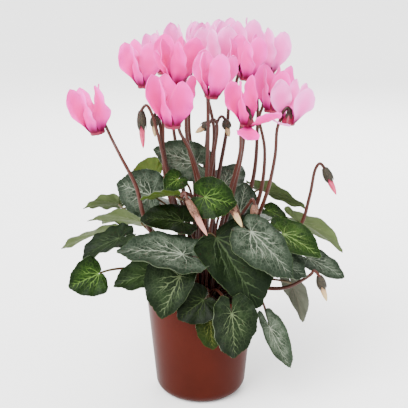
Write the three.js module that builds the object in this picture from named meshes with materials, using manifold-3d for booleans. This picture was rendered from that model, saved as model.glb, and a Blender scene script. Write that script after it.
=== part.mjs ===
// A potted cyclamen in flower. One tuber sits half buried in the soil of a tapered plastic pot, and every
// leaf stalk and flower stalk grows from its crown. The heart-shaped blades have toothed edges, and each
// bloom hangs from a hooked stalk with five petals swept back upwards.
//
// Millimetres, +Z up, the origin at the centre of the pot's foot. -Y is the side seen first.
import * as THREE from "three";
import { mergeVertices } from "three/addons/utils/BufferGeometryUtils.js";
import Module from "manifold-3d";

const wasm = await Module();
wasm.setup();

// Driving dimensions.
const POT_DIAMETER = 120;
const POT_HEIGHT = 118;
const POT_WALL = 1.6;
const POT_TAPER = 0.09;
const FOOT_RADIUS = 38;
const FOOT_WIDTH = 4.5;
const FOOT_HEIGHT = 4;
const FOOT_NOTCHES = 4;
const FOOT_NOTCH_TURN = 0.08;
const CORNER_RADIUS = 13;
const BEAD_HEIGHT = 4;
const BEAD_STEP = 1.2;
const DRAIN_HOLES = 5;
const DRAIN_RADIUS = 4;
const DRAIN_CIRCLE = 22;
const PAD_RADIUS = 14;
const ROUND_SIDES = 24;

const SOIL_BELOW_RIM = 12;
const SOIL_MOUND = 3;
const SOIL_ROUGHNESS = 1.2;
const SEAT_GAP = 0.3;

const TUBER = { x: 3, y: 0, radius: 28, half_height: 13, top: 117 };
const CROWN_RADIUS = 22;
const CROWN_LEAN = 1.3;

const STALK_RADIUS = 2.4;
const HOOK_RADIUS = 1.6;
const CALYX_RADIUS = 2.6;
const CALYX_FROM = 0.985;
const PETIOLE_RADIUS = 1.7;
const PETIOLE_TIP_RADIUS = 1.15;
const STALK_SIDES = 5;
const STALK_STEPS = 10;
const BUD_STALK_STEPS = 8;
const PETIOLE_SIDES = 4;
const PETIOLE_STEPS = 5;
const BENT_PETIOLE_STEPS = 8;

const BLADE_THICKNESS = 0.9;
const BLADE_TEETH = 0.035;
const BLADE_RAYS = 16;
const BLADE_HALF_ANGLE = 2.98;

const PETAL_THICKNESS = 0.8;
const PETAL_LENGTH = 50;
const PETAL_WIDTH = 24;
const PETAL_RING = [50, 115, 180, 245, 310];
const PETAL_CUP = 0.16;
const PETAL_CURL = 0.12;
const NOSE_RADIUS = 7.4;
const NOSE_LENGTH = 12;
const NOSE_SIDES = 6;

const BUD_RADIUS = 2.8;
const BUD_CALYX_SWELL = 3;
const BUD_SIDES = 6;
const BUD_CALYX_SHARE = 0.4;

const COLOURS = {
  pot: { color: 0x7e382a, roughness: 0.42 },
  soil: { color: 0x2a1d14, roughness: 1 },
  stem: { color: 0x6b3a2c, roughness: 0.5 },
  silver: { color: 0x77836f, roughness: 0.5 },
  dark: { color: 0x34452b, roughness: 0.45 },
  young: { color: 0x4a6a24, roughness: 0.45 },
  petal: { color: 0xf98cbc, roughness: 0.55 },
  bud: { color: 0xd98f9c, roughness: 0.6 },
};

// The blades. "at" is where the stalk meets the blade, in the notch of the heart, and "tip" is where
// the blade points; "faces" is the way its upper side looks. "lobes" shortens the two lobes beside the
// notch, "skew" widens one half and narrows the other, and "fold" is how far each half is folded up, in
// degrees. "through" bends a stalk round what stands in its way, and "arrive" is the angle between the
// end of the stalk and the blade's normal.
const LEAVES = [
  // Front and left, from the lowest up.
  { at: [-102, -56, 155], tip: [-132, -60, 142], faces: [-0.1, -1, 0.3], width: 41, lobes: 0.3,
    tone: "young" },
  { at: [-18, -62, 178], tip: [-81, -72, 186], faces: [0, -0.55, 0.85], width: 48, skew: 0.06,
    tone: "silver" },
  { at: [-19, -34, 203], tip: [-60, -40, 207], faces: [0, -0.5, 0.85], width: 40, lobes: 0.75,
    tone: "dark" },
  { at: [-52, -2, 221], tip: [-87, 4, 232], faces: [-0.2, -0.85, 0.45], width: 52, lobes: 0.7,
    tone: "silver" },
  { at: [-28, -28, 229], tip: [-60, -32, 225], faces: [0, 0.5, 0.85], width: 30, lobes: 0.7,
    tone: "young", through: [[-4, -8, 202], [-14, -12, 222]], arrive: 55 },
  { at: [-49, 24, 235], tip: [-74, 26, 237], faces: [0, 0.85, -0.3], width: 42, lobes: 0.6, tone: "young" },
  { at: [-6, 14, 252], tip: [-48, 10, 268], faces: [0, -0.95, 0.35], width: 42, tone: "silver" },
  { at: [-22, -44, 250], tip: [-35, -54, 243], faces: [0, -0.8, 0.6], width: 24, tone: "young" },
  { at: [-90, 28, 203], tip: [-127, 26, 198], faces: [0, 0.7, 0.7], width: 30, tone: "silver",
    through: [[-30, 14, 190], [-62, 24, 212]] },
  { at: [-64, 4, 190], tip: [-119, 2, 192], faces: [0, 0.65, 0.75], width: 36, tone: "dark" },
  { at: [-105, 22, 172], tip: [-151, 18, 154], faces: [-0.2, 0.5, 0.8], width: 30, tone: "dark" },
  { at: [-84, -30, 183], tip: [-121, -38, 165], faces: [-0.35, -0.35, 0.85], width: 40, tone: "dark" },
  { at: [-38, -44, 152], tip: [-87, -58, 144], faces: [-0.1, -0.55, 0.8], width: 44, tone: "dark" },
  { at: [-20, -67, 156], tip: [-38, -82, 118], faces: [-0.1, -0.9, 0.45], width: 50, skew: -0.35,
    tone: "dark",
    through: [[-2, -44, 132], [-14, -60, 141]] },
  { at: [5, -58, 236], tip: [35, -62, 230], faces: [0.05, -0.95, 0.35], width: 42, tone: "young",
    through: [[6, -22, 200], [4, -42, 228]] },
  { at: [3, -69, 132], tip: [-22, -77, 115], faces: [0, -0.9, 0.4], width: 42, lobes: 0.6, tone: "dark" },
  { at: [10, -67, 106], tip: [13, -70, 78], faces: [0, -1, 0.1], width: 30, tone: "young",
    through: [[9, -46, 127], [10, -61, 124]], arrive: 60 },
  { at: [31, -85, 124], tip: [33, -89, 79], faces: [0.35, -0.9, 0.2], width: 50, fold: 20, tone: "dark" },
  // Right side.
  { at: [16, -50, 191], tip: [58, -76, 127], faces: [0.05, -0.8, 0.55], width: 76, lobes: 0.2,
    skew: 0.28, tone: "dark" },
  { at: [50, -66, 203], tip: [91, -80, 161], faces: [0.15, -0.75, 0.65], width: 50, lobes: 0.5,
    skew: -0.2, tone: "silver", through: [[20, -18, 206], [34, -35, 224]] },
  { at: [72, -55, 94], tip: [93, -58, 50], faces: [-0.3, -0.9, 0.1], width: 26, skew: 0.3, tone: "silver",
    through: [[40, -30, 128], [62, -45, 122]], arrive: 55 },
  { at: [96, -22, 130], tip: [110, -24, 88], faces: [0.4, 0.8, 0.2], width: 26, tone: "dark" },
  { at: [113, -27, 160], tip: [149, -30, 140], faces: [0.2, -0.6, 0.75], width: 30, tone: "silver" },
  { at: [85, -36, 190], tip: [121, -50, 171], faces: [0.2, -0.65, 0.7], width: 38, tone: "young" },
  { at: [108, 14, 186], tip: [153, 6, 156], faces: [0.2, 0.6, 0.7], width: 38, tone: "silver" },
  { at: [66, 40, 216], tip: [117, 38, 191], faces: [0.1, 0.6, 0.8], width: 32, lobes: 0.7,
    tone: "silver" },
  { at: [42, 8, 200], tip: [48, 15, 230], faces: [0, -0.9, -0.2], width: 38, tone: "silver" },
  { at: [72, 12, 200], tip: [92, 6, 189], faces: [0.3, -0.3, 0.9], width: 28, lobes: 0.6, tone: "young" },
  { at: [76, -42, 162], tip: [108, -50, 150], faces: [0.2, -0.6, 0.75], width: 36, tone: "silver" },
  // Back.
  { at: [26, 38, 222], tip: [46, 60, 236], faces: [0, -0.6, 0.8], width: 36, tone: "silver" },
  { at: [-60, 54, 172], tip: [-114, 90, 158], faces: [-0.3, 0.4, 0.9], width: 66, tone: "silver" },
  { at: [-20, 62, 192], tip: [-34, 128, 174], faces: [-0.1, 0.4, 0.9], width: 70, tone: "silver" },
  { at: [26, 60, 152], tip: [38, 122, 132], faces: [0.1, 0.5, 0.85], width: 74, tone: "dark" },
  { at: [72, 54, 174], tip: [120, 86, 158], faces: [0.3, 0.4, 0.9], width: 64, tone: "silver" },
];

// The blooms. "mouth" is the centre of the flower's mouth, and "axis" the way its petals are swept.
// "through" bends the stalk. "gap" is the compass direction of the gap that the stalk slips through,
// in degrees from +X. "fallen" gives a petal, by its place in the ring, a direction, a lean and maybe
// a twist of its own.
const BLOOMS = [
  { mouth: [-103, -15, 290], axis: [-0.2, 0, 1], size: 1,
    through: [[-56, -24, 200], [-65, -26, 238], [-80, -22, 268]], fallen: { 4: [318, 14, 105] } },
  { mouth: [-56, 2, 334], axis: [-0.1, 0, 1], size: 0.94, through: [[-31, -8, 232], [-41, -4, 297]] },
  { mouth: [-23, -16, 339], axis: [0.02, -0.05, 1], size: 1, through: [[-2, -8, 226], [-14, -12, 290]] },
  { mouth: [-26, -54, 305], axis: [0, -0.1, 1], size: 1.04, through: [[1, -22, 230], [-10, -32, 276]] },
  { mouth: [11, -42, 331], axis: [0.14, -0.05, 1], size: 0.92, through: [[6, -20, 230], [8, -30, 290]] },
  { mouth: [39, 32, 352], axis: [-0.04, 0.1, 1], size: 0.98, through: [[18, 14, 230], [28, 20, 290]] },
  { mouth: [45, -20, 345], axis: [-0.02, 0, 1], size: 0.88, through: [[34, -10, 228], [44, -12, 290]] },
  { mouth: [70, 38, 341], axis: [0.06, 0.12, 1], size: 0.96, through: [[54, 18, 224], [60, 24, 290]] },
  { mouth: [72, 0, 309], axis: [0.06, 0.08, 1], size: 0.96, through: [[60, -3, 214], [66, -4, 270]] },
  { mouth: [45, -62, 308], axis: [0, -0.06, 1], size: 0.92, through: [[30, -30, 234], [39, -48, 280]],
    fallen: { 0: [184, 19], 2: [268, 98], 3: [306, 68] } },
  { mouth: [86, -36, 304], axis: [0.08, -0.05, 1], size: 0.86, gap: 185,
    through: [[63, -24, 216], [74, -34, 270]], fallen: { 0: [247, 80], 1: [325, 24] } },
  { mouth: [-16, 28, 349], axis: [-0.03, 0.06, 1], size: 0.96, through: [[-6, 16, 230], [-12, 24, 290]] },
  { mouth: [7, 68, 346], axis: [0, 0.14, 1], size: 1, through: [[4, 34, 230], [8, 50, 290]] },
  { mouth: [14, 6, 348], axis: [0, 0, 1], size: 0.96, through: [[9, 2, 230], [14, 3, 290]] },
  { mouth: [-39, 62, 338], axis: [-0.06, 0.12, 1], size: 0.96, through: [[-20, 26, 230], [-30, 46, 290]] },
];

// The buds. "crest" is the top of the hook, "neck" where the green calyx begins, and "tip" the end of
// the furled petals. A small one is still one body with its stalk.
const BUDS = [
  { crest: [-54, -12, 318], neck: [-59, -12, 312], tip: [-58, -10, 273], through: [[-32, -10, 240]] },
  { small: true, crest: [-43, -6, 312], neck: [-46, -6, 306], tip: [-46, -6, 284],
    through: [[-36, -6, 240]] },
  { crest: [13, -8, 303], neck: [9, -9, 299], tip: [-5, -9, 289], through: [[10, -8, 240]] },
  { small: true, crest: [22, 12, 302], neck: [26, 12, 298], tip: [30, 12, 280], through: [[14, 8, 240]] },
  { crest: [122, -12, 258], neck: [127, -12, 253], tip: [140, -14, 225],
    through: [[60, -4, 150], [103, -10, 188], [113, -10, 222]] },
  { crest: [116, -46, 154], neck: [121, -48, 149], tip: [130, -48, 121],
    through: [[50, -30, 129], [88, -40, 133]] },
  { crest: [-15, -66, 243], neck: [-12, -70, 237], tip: [7, -75, 202],
    through: [[4, -20, 206], [-8, -34, 229], [-17, -52, 239]] },
  { crest: [26, -50, 232], neck: [29, -53, 229], tip: [41, -67, 208], through: [[13, -34, 208]] },
  { crest: [52, -46, 230], neck: [54, -48, 225], tip: [53, -52, 203], through: [[40, -32, 205]] },
];

const vector = (p) => new THREE.Vector3(...p);
const radians = THREE.MathUtils.degToRad;
const smooth = (low, high, x) => THREE.MathUtils.smoothstep(x, low, high);

// A repeatable number from 0 to 1 for the piece and the use that it is drawn for.
function draw(piece, use) {
  const s = Math.sin(piece * 12.9898 + use * 78.233) * 43758.5453;
  return s - Math.floor(s);
}

function meshGeometry(points, triangles) {
  const geometry = new THREE.BufferGeometry();
  const numbers = points.flatMap((p) => [p.x, p.y, p.z]);
  geometry.setAttribute("position", new THREE.Float32BufferAttribute(numbers, 3));
  geometry.setIndex(triangles);
  return geometry;
}

function solidOf(geometry) {
  const bare = geometry.clone();
  bare.deleteAttribute("normal");
  bare.deleteAttribute("uv");
  const merged = mergeVertices(bare, 1e-4);
  const vertProperties = merged.attributes.position.array;
  const triVerts = new Uint32Array(merged.index.array);
  return new wasm.Manifold(new wasm.Mesh({ numProp: 3, vertProperties, triVerts }));
}

function geometryOf(solid) {
  const mesh = solid.getMesh();
  const geometry = new THREE.BufferGeometry();
  geometry.setAttribute("position", new THREE.BufferAttribute(new Float32Array(mesh.vertProperties), 3));
  geometry.setIndex(new THREE.BufferAttribute(new Uint32Array(mesh.triVerts), 1));
  return geometry;
}

function material(tone) {
  return new THREE.MeshStandardMaterial({ ...COLOURS[tone], metalness: 0 });
}

function named(name, geometry, tone) {
  const shaded = geometry.toNonIndexed();
  shaded.computeVertexNormals();
  const mesh = new THREE.Mesh(shaded, material(tone));
  mesh.name = name;
  return mesh;
}

const numbered = (kind, index) => `${kind}_${String(index + 1).padStart(2, "0")}`;

// Turns a profile of [radius, height] pairs round the Z axis.
function turned(profile, sides) {
  const outline = profile.map(([r, z]) => new THREE.Vector2(r, z));
  return new THREE.LatheGeometry(outline, sides).rotateX(Math.PI / 2);
}

// The pot: a tapered wall with a rounded lower corner. It stands on a notched foot ring and a round
// pad in the middle, and drains through its floor.
const potRadius = POT_DIAMETER / 2 - BEAD_STEP;
const wallRadius = (z) => potRadius - POT_TAPER * (POT_HEIGHT - z);
const cornerStart = wallRadius(CORNER_RADIUS) - CORNER_RADIUS;
const insideCornerHeight = FOOT_HEIGHT + CORNER_RADIUS;

function cornerArc(radius, centre_r, centre_z, steps) {
  const arc = [];
  for (let i = 0; i <= steps; i++) {
    const a = ((i / steps - 1) * Math.PI) / 2;
    arc.push([centre_r + radius * Math.cos(a), centre_z + radius * Math.sin(a)]);
  }
  return arc;
}

function pot() {
  const floor = FOOT_HEIGHT;
  const bead = POT_HEIGHT - BEAD_HEIGHT;
  const profile = [
    [0, 0],
    [PAD_RADIUS, 0],
    [PAD_RADIUS + 1, floor],
    [FOOT_RADIUS - FOOT_WIDTH - 1, floor],
    [FOOT_RADIUS - FOOT_WIDTH, 0],
    [FOOT_RADIUS, 0],
    ...cornerArc(CORNER_RADIUS, cornerStart, CORNER_RADIUS, 3).slice(1),
    [wallRadius(bead), bead],
    [wallRadius(bead) + BEAD_STEP, bead + 0.8],
    [POT_DIAMETER / 2, POT_HEIGHT - 0.8],
    [POT_DIAMETER / 2 - 0.8, POT_HEIGHT],
    [wallRadius(POT_HEIGHT) - POT_WALL, POT_HEIGHT],
    ...cornerArc(CORNER_RADIUS - POT_WALL, cornerStart, insideCornerHeight, 3).reverse(),
    [0, floor + POT_WALL],
  ];
  let body = solidOf(turned(profile, ROUND_SIDES));
  for (let i = 0; i < DRAIN_HOLES; i++) {
    const a = (i / DRAIN_HOLES) * 2 * Math.PI;
    const hole = new THREE.CylinderGeometry(DRAIN_RADIUS, DRAIN_RADIUS, 4 * FOOT_HEIGHT, 8);
    hole.rotateX(Math.PI / 2).translate(DRAIN_CIRCLE * Math.cos(a), DRAIN_CIRCLE * Math.sin(a), floor);
    body = body.subtract(solidOf(hole));
  }
  for (let i = 0; i < FOOT_NOTCHES; i++) {
    const notch = new THREE.BoxGeometry(4 * FOOT_WIDTH, 13, FOOT_HEIGHT).translate(FOOT_RADIUS, 0, 0);
    notch.rotateZ(((i + FOOT_NOTCH_TURN) / FOOT_NOTCHES) * 2 * Math.PI);
    body = body.subtract(solidOf(notch));
  }
  return named("pot", geometryOf(body), "pot");
}

// The tuber: a flattened ball, half in the soil. "grow" widens it for the hollow that it sits in.
const tuberCentre = TUBER.top - TUBER.half_height;

function tuberGeometry(grow) {
  const ball = new THREE.SphereGeometry(1, 12, 6).rotateX(Math.PI / 2);
  ball.scale(TUBER.radius + grow, TUBER.radius + grow, TUBER.half_height + grow);
  return ball.translate(TUBER.x, TUBER.y, tuberCentre);
}

function soil() {
  const top = POT_HEIGHT - SOIL_BELOW_RIM;
  const bottom = FOOT_HEIGHT + POT_WALL + SEAT_GAP;
  const inset = POT_WALL + SEAT_GAP;
  const corner = cornerArc(CORNER_RADIUS - inset, cornerStart, insideCornerHeight, 3);
  const rim = wallRadius(top) - inset;
  const profile = [[0, bottom], ...corner, [rim, top], [rim * 0.72, top], [rim * 0.4, top], [0, top]];
  const ground = turned(profile, ROUND_SIDES);
  const place = ground.attributes.position;
  for (let i = 0; i < place.count; i++) {
    const [x, y, z] = [place.getX(i), place.getY(i), place.getZ(i)];
    const share = Math.hypot(x, y) / rim;
    if (z < top - 1e-3 || share > 0.9) continue;
    const rough = SOIL_ROUGHNESS * Math.sin(x * 0.31 + y * 0.17) * Math.cos(y * 0.27 - x * 0.11);
    place.setZ(i, top + SOIL_MOUND * (1 - share * share) + rough);
  }
  const body = solidOf(ground).subtract(solidOf(tuberGeometry(SEAT_GAP + 0.1)));
  return named("soil", geometryOf(body), "soil");
}

// A round stem along a curve. "radius" gives its radius at each share of the length.
function stem(curve, steps, sides, radius) {
  const frames = curve.computeFrenetFrames(steps, false);
  const points = [];
  const triangles = [];
  for (let i = 0; i <= steps; i++) {
    const share = i / steps;
    const centre = curve.getPointAt(share);
    for (let k = 0; k < sides; k++) {
      const a = (k / sides) * 2 * Math.PI;
      const out = frames.normals[i].clone().multiplyScalar(Math.cos(a));
      out.addScaledVector(frames.binormals[i], Math.sin(a));
      points.push(centre.clone().addScaledVector(out, radius(share)));
    }
  }
  for (let i = 0; i < steps; i++) {
    for (let k = 0; k < sides; k++) {
      const next = (k + 1) % sides;
      const [a, b] = [i * sides + k, i * sides + next];
      triangles.push(a, b, b + sides, a, b + sides, a + sides);
    }
  }
  const last = steps * sides;
  for (let k = 1; k < sides - 1; k++) {
    triangles.push(0, k + 1, k, last, last + k, last + k + 1);
  }
  return solidOf(meshGeometry(points, triangles));
}

// Where each stalk leaves the crown, a little under its skin. The feet are spaced in a spiral, as
// seeds are in a sunflower, and each stalk takes the free place nearest to the side that it heads for,
// the most leaning first.
function crownFeet(targets) {
  const golden = Math.PI * (3 - Math.sqrt(5));
  const free = targets.map((_, k) => {
    const ring = CROWN_RADIUS * Math.sqrt((k + 0.5) / targets.length);
    return new THREE.Vector2(ring * Math.cos(k * golden), ring * Math.sin(k * golden));
  });
  const heading = targets.map((target, index) => {
    const away = new THREE.Vector2(target.x - TUBER.x, target.y - TUBER.y);
    const lean = away.length() / Math.max(1, target.z - TUBER.top);
    away.setLength(CROWN_RADIUS * Math.min(1, Math.sqrt(lean / CROWN_LEAN)));
    return { index, lean, wanted: away };
  });
  const feet = [];
  for (const { index, wanted } of heading.sort((a, b) => b.lean - a.lean)) {
    free.sort((a, b) => a.distanceTo(wanted) - b.distanceTo(wanted));
    const place = free.shift();
    const dome = Math.sqrt(1 - (place.length() / TUBER.radius) ** 2);
    const z = tuberCentre + TUBER.half_height * dome - 3;
    feet[index] = new THREE.Vector3(TUBER.x + place.x, TUBER.y + place.y, z);
  }
  return feet;
}

// The heart-shaped outline, as the distance from the notch at an angle from the midrib.
function bladeOutline(angle) {
  const a = Math.abs(angle);
  const heart = 0.66 + 0.34 * Math.exp(-((a / 0.78) ** 1.15)) - 0.16 * (a / Math.PI) ** 3;
  return heart * (1 - 0.3 * smooth(2.6, Math.PI, a));
}

// A blade's own axes: along the midrib, across it, and out of its upper face.
function bladeAxes(leaf) {
  const at = vector(leaf.at);
  const along = vector(leaf.tip).sub(at);
  const length = along.length();
  along.normalize();
  const up = vector(leaf.faces);
  up.addScaledVector(along, -up.dot(along)).normalize();
  return { at, along, up, across: up.clone().cross(along), length };
}

// A point of the blade's middle surface, at an angle from the midrib and a share of the way to its edge.
function bladePoint(leaf, axes, angle, share, index) {
  const { fold = 12, droop = 0.2, wave = 0.035, lobes = 0.9, skew = 0 } = leaf;
  const r = share * bladeOutline(angle);
  const u = r * Math.cos(angle) * (Math.abs(angle) > Math.PI / 2 ? lobes : 1);
  const half = leaf.width * (1 + skew * Math.sign(angle));
  const v = (r * Math.sin(angle) * half) / (1.36 * axes.length);
  const wing = Math.sqrt(v * v + 0.004) - Math.sqrt(0.004);
  const ripple = wave * share * share * Math.sin(4 * angle + 6 * draw(index, 1));
  const lift = Math.tan(radians(fold)) * wing + droop * (u - u * Math.abs(u)) + ripple;
  return axes.at
    .clone()
    .addScaledVector(axes.along, u * axes.length)
    .addScaledVector(axes.across, v * Math.cos(radians(fold)) * axes.length)
    .addScaledVector(axes.up, lift * axes.length);
}

function bladeNormal(leaf, axes, angle, share, index) {
  const s = Math.max(share, 0.05);
  const p = bladePoint(leaf, axes, angle, s, index);
  const outward = bladePoint(leaf, axes, angle, s * 1.02, index).sub(p);
  const round = bladePoint(leaf, axes, angle + 0.02, s, index).sub(p);
  return outward.cross(round).normalize();
}

function leafBlade(leaf, index) {
  const axes = bladeAxes(leaf);
  const upper = [axes.at.clone().addScaledVector(axes.up, BLADE_THICKNESS / 2)];
  const lower = [axes.at.clone().addScaledVector(axes.up, -BLADE_THICKNESS / 2)];
  const ring = (count, share, toothed) => {
    const first = upper.length;
    for (let i = 0; i <= count; i++) {
      const angle = (2 * i / count - 1) * BLADE_HALF_ANGLE;
      const tooth = toothed ? 1 + BLADE_TEETH * (i % 2 === 0 ? 0.5 : -0.5) : 1;
      const p = bladePoint(leaf, axes, angle, share * tooth, index);
      const n = bladeNormal(leaf, axes, angle, share, index).multiplyScalar(BLADE_THICKNESS / 2);
      upper.push(p.clone().add(n));
      lower.push(p.clone().sub(n));
    }
    return first;
  };
  const half = BLADE_RAYS / 2;
  const inner = ring(half, 0.52, false);
  const edge = ring(BLADE_RAYS, 1, true);
  const face = [];
  for (let i = 0; i < half; i++) {
    const [a, b, e] = [inner + i, inner + i + 1, edge + 2 * i];
    face.push([0, a, b], [a, e, e + 1], [a, e + 1, b], [b, e + 1, e + 2]);
  }
  const border = [0, inner];
  for (let i = 0; i <= BLADE_RAYS; i++) border.push(edge + i);
  border.push(inner + half);
  const shift = upper.length;
  const triangles = [];
  for (const [a, b, c] of face) triangles.push(a, b, c, a + shift, c + shift, b + shift);
  border.forEach((a, i) => {
    const b = border[(i + 1) % border.length];
    triangles.push(a, a + shift, b, b, a + shift, b + shift);
  });
  return named(numbered("leaf", index), meshGeometry([...upper, ...lower], triangles), leaf.tone);
}

// A leaf's stalk: up out of the crown, over, and in under the notch of its blade.
function petiole(leaf, start) {
  const { at, along, up } = bladeAxes(leaf);
  const { arrive = 40, fold = 12 } = leaf;
  const a = radians(arrive);
  const into = up.clone().multiplyScalar(Math.cos(a)).addScaledVector(along, Math.sin(a));
  const sag = Math.tan(radians(fold)) * PETIOLE_TIP_RADIUS;
  const clear = BLADE_THICKNESS / 2 + SEAT_GAP + PETIOLE_TIP_RADIUS * Math.abs(Math.sin(a)) + sag;
  const end = at.clone().addScaledVector(into, -clear / Math.cos(a));
  const reach = end.distanceTo(start);
  const rise = start.clone().lerp(end, 0.1).setZ(start.z + Math.max(24, (end.z - start.z) * 0.7));
  const approach = end.clone().addScaledVector(into, -reach * 0.35);
  const through = (leaf.through ?? []).map(vector);
  const before = end.clone().addScaledVector(into, -8);
  const curve = leaf.through
    ? new THREE.CatmullRomCurve3([start, ...through, before, end], false, "centripetal")
    : new THREE.CubicBezierCurve3(start, rise, approach, end);
  const radius = (share) => THREE.MathUtils.lerp(PETIOLE_RADIUS, PETIOLE_TIP_RADIUS, share);
  return stem(curve, leaf.through ? BENT_PETIOLE_STEPS : PETIOLE_STEPS, PETIOLE_SIDES, radius);
}

// A bloom's own axes: along its swept petals, and towards the gap where the stalk slips in between two
// of them.
function bloomAxes(bloom) {
  const mouth = vector(bloom.mouth);
  const axis = vector(bloom.axis).normalize();
  const gap = bloom.gap === undefined
    ? new THREE.Vector3(TUBER.x - mouth.x, TUBER.y - mouth.y, 0)
    : new THREE.Vector3(Math.cos(radians(bloom.gap)), Math.sin(radians(bloom.gap)), 0);
  gap.addScaledVector(axis, -gap.dot(axis)).normalize();
  return { mouth, axis, gap, side: axis.clone().cross(gap) };
}

function bloomPoint(axes, towardsGap, sideways, along) {
  return axes.mouth
    .clone()
    .addScaledVector(axes.gap, towardsGap)
    .addScaledVector(axes.side, sideways)
    .addScaledVector(axes.axis, along);
}

// A petal's middle line leaves the mouth flat, turns sharply back and runs up beside the axis. Slopes are
// measured from the axis.
function petalSlope(lean, share) {
  return lean + (radians(98) - lean) * Math.exp(-share / 0.055) - radians(14) * share;
}

function petalLine(size, lean, share) {
  const steps = 40;
  let [r, z] = [4.2, 0.9];
  for (let i = 0; i < steps * share; i++) {
    const slope = petalSlope(lean, (i + 0.5) / steps);
    r += (Math.sin(slope) * PETAL_LENGTH * size) / steps;
    z += (Math.cos(slope) * PETAL_LENGTH * size) / steps;
  }
  return { r, z, slope: petalSlope(lean, share) };
}

function petalHalfWidth(share) {
  const swell = 0.3 + 0.7 * smooth(0.04, 0.52, share);
  return (PETAL_WIDTH / 2) * swell * (1 - 0.74 * smooth(0.5, 1.04, share) ** 1.4);
}

// A point of a petal's middle surface: "share" runs from mouth to tip, "side" from edge to edge. The
// petal turns on its own middle line as it rises, and its edges curl a little outwards and down.
function petalPoint(petal, axes, share, side) {
  const { r, z, slope } = petalLine(petal.size, petal.lean, share);
  const round = new THREE.Vector3(-Math.sin(petal.azimuth), Math.cos(petal.azimuth), 0);
  const outward = new THREE.Vector3(Math.cos(petal.azimuth), Math.sin(petal.azimuth), 0);
  const axial = new THREE.Vector3(0, 0, 1);
  const along = outward.clone().multiplyScalar(Math.sin(slope)).addScaledVector(axial, Math.cos(slope));
  const normal = outward.clone().multiplyScalar(Math.cos(slope)).addScaledVector(axial, -Math.sin(slope));
  const turn = petal.twist * smooth(0.02, 0.7, share);
  const across = round.clone().multiplyScalar(Math.cos(turn)).addScaledVector(normal, Math.sin(turn));
  const face = normal.clone().multiplyScalar(Math.cos(turn)).addScaledVector(round, -Math.sin(turn));
  const half = petalHalfWidth(share) * petal.size;
  const p = outward.clone().multiplyScalar(r).addScaledVector(axial, z);
  p.addScaledVector(across, half * side);
  p.addScaledVector(face, -PETAL_CUP * half * side * side);
  p.addScaledVector(along, -PETAL_CURL * half * side * side * share);
  return bloomPoint(axes, p.x, p.y, p.z);
}

// The five petals of a bloom, set round the axis with a wider gap at the stalk. A fallen one is given
// its own compass direction, lean and twist, in degrees.
function petalsOf(bloom, index) {
  const { gap } = bloomAxes(bloom);
  const heading = Math.atan2(gap.y, gap.x);
  return PETAL_RING.map((azimuth, k) => {
    const [compass, lean, twist] = bloom.fallen?.[k] ?? [];
    const scattered = radians(azimuth + 6 * (draw(index, k) - 0.5));
    return {
      azimuth: compass === undefined ? scattered : radians(compass) - heading,
      lean: radians(lean ?? 14 + 8 * draw(index, k + 10)),
      twist: radians(twist ?? (lean > 50 ? 12 : 42 + 24 * draw(index, k + 20))),
      size: bloom.size * (0.95 + 0.1 * draw(index, k + 30)),
    };
  });
}

function petalSolid(petal, axes) {
  const rows = [0, 0.15, 0.57, 1];
  const sides = [-1, 0, 1];
  const grid = rows.map((s) => sides.map((c) => petalPoint(petal, axes, s, c)));
  const upper = [];
  const lower = [];
  rows.forEach((s, i) => {
    sides.forEach((c, j) => {
      const p = grid[i][j];
      const before = petalPoint(petal, axes, Math.max(s - 0.01, 0), c);
      const along = petalPoint(petal, axes, s + 0.01, c).sub(before);
      const across = petalPoint(petal, axes, s, c + 0.02).sub(petalPoint(petal, axes, s, c - 0.02));
      const n = along.cross(across).normalize().multiplyScalar(PETAL_THICKNESS / 2);
      upper.push(p.clone().add(n));
      lower.push(p.clone().sub(n));
    });
  });
  const columns = sides.length;
  const shift = upper.length;
  const triangles = [];
  for (let i = 0; i < rows.length - 1; i++) {
    for (let j = 0; j < columns - 1; j++) {
      const a = i * columns + j;
      const quad = [a, a + 1, a + columns + 1, a + columns];
      const cut = j === 0 ? [[0, 3, 2], [0, 2, 1]] : [[0, 3, 1], [3, 2, 1]];
      for (const [p, q, r] of cut) {
        triangles.push(quad[p], quad[q], quad[r], quad[p] + shift, quad[r] + shift, quad[q] + shift);
      }
    }
  }
  const border = [];
  for (let j = 0; j < columns - 1; j++) border.push(j);
  for (let i = 0; i < rows.length - 1; i++) border.push(i * columns + columns - 1);
  for (let j = columns - 1; j > 0; j--) border.push((rows.length - 1) * columns + j);
  for (let i = rows.length - 1; i > 0; i--) border.push(i * columns);
  border.forEach((a, i) => {
    const b = border[(i + 1) % border.length];
    triangles.push(a, b, b + shift, a, b + shift, a + shift);
  });
  return solidOf(meshGeometry([...upper, ...lower], triangles));
}

// The corolla's short tube, with the hollow of the mouth underneath.
function noseSolid(axes, size) {
  const hollow = 3;
  const neck = 3.1;
  const mouth = [[0, hollow], [NOSE_RADIUS - 1.2, -0.5], [NOSE_RADIUS, 1.3]];
  const profile = [...mouth, [neck, NOSE_LENGTH], [0, NOSE_LENGTH]];
  const nose = turned(profile.map(([r, z]) => [r * size, z * size]), NOSE_SIDES);
  const basis = new THREE.Matrix4().makeBasis(axes.gap, axes.side, axes.axis).setPosition(axes.mouth);
  return solidOf(nose.applyMatrix4(basis));
}

function bloomHead(bloom, index) {
  const axes = bloomAxes(bloom);
  let body = noseSolid(axes, bloom.size);
  for (const petal of petalsOf(bloom, index)) body = body.add(petalSolid(petal, axes));
  return named(numbered("bloom", index), geometryOf(body), "petal");
}

// A stalk is thickest below and slimmer where it hooks over.
const stalkRadius = (share) => THREE.MathUtils.lerp(STALK_RADIUS, HOOK_RADIUS, smooth(0.3, 0.9, share));

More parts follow.
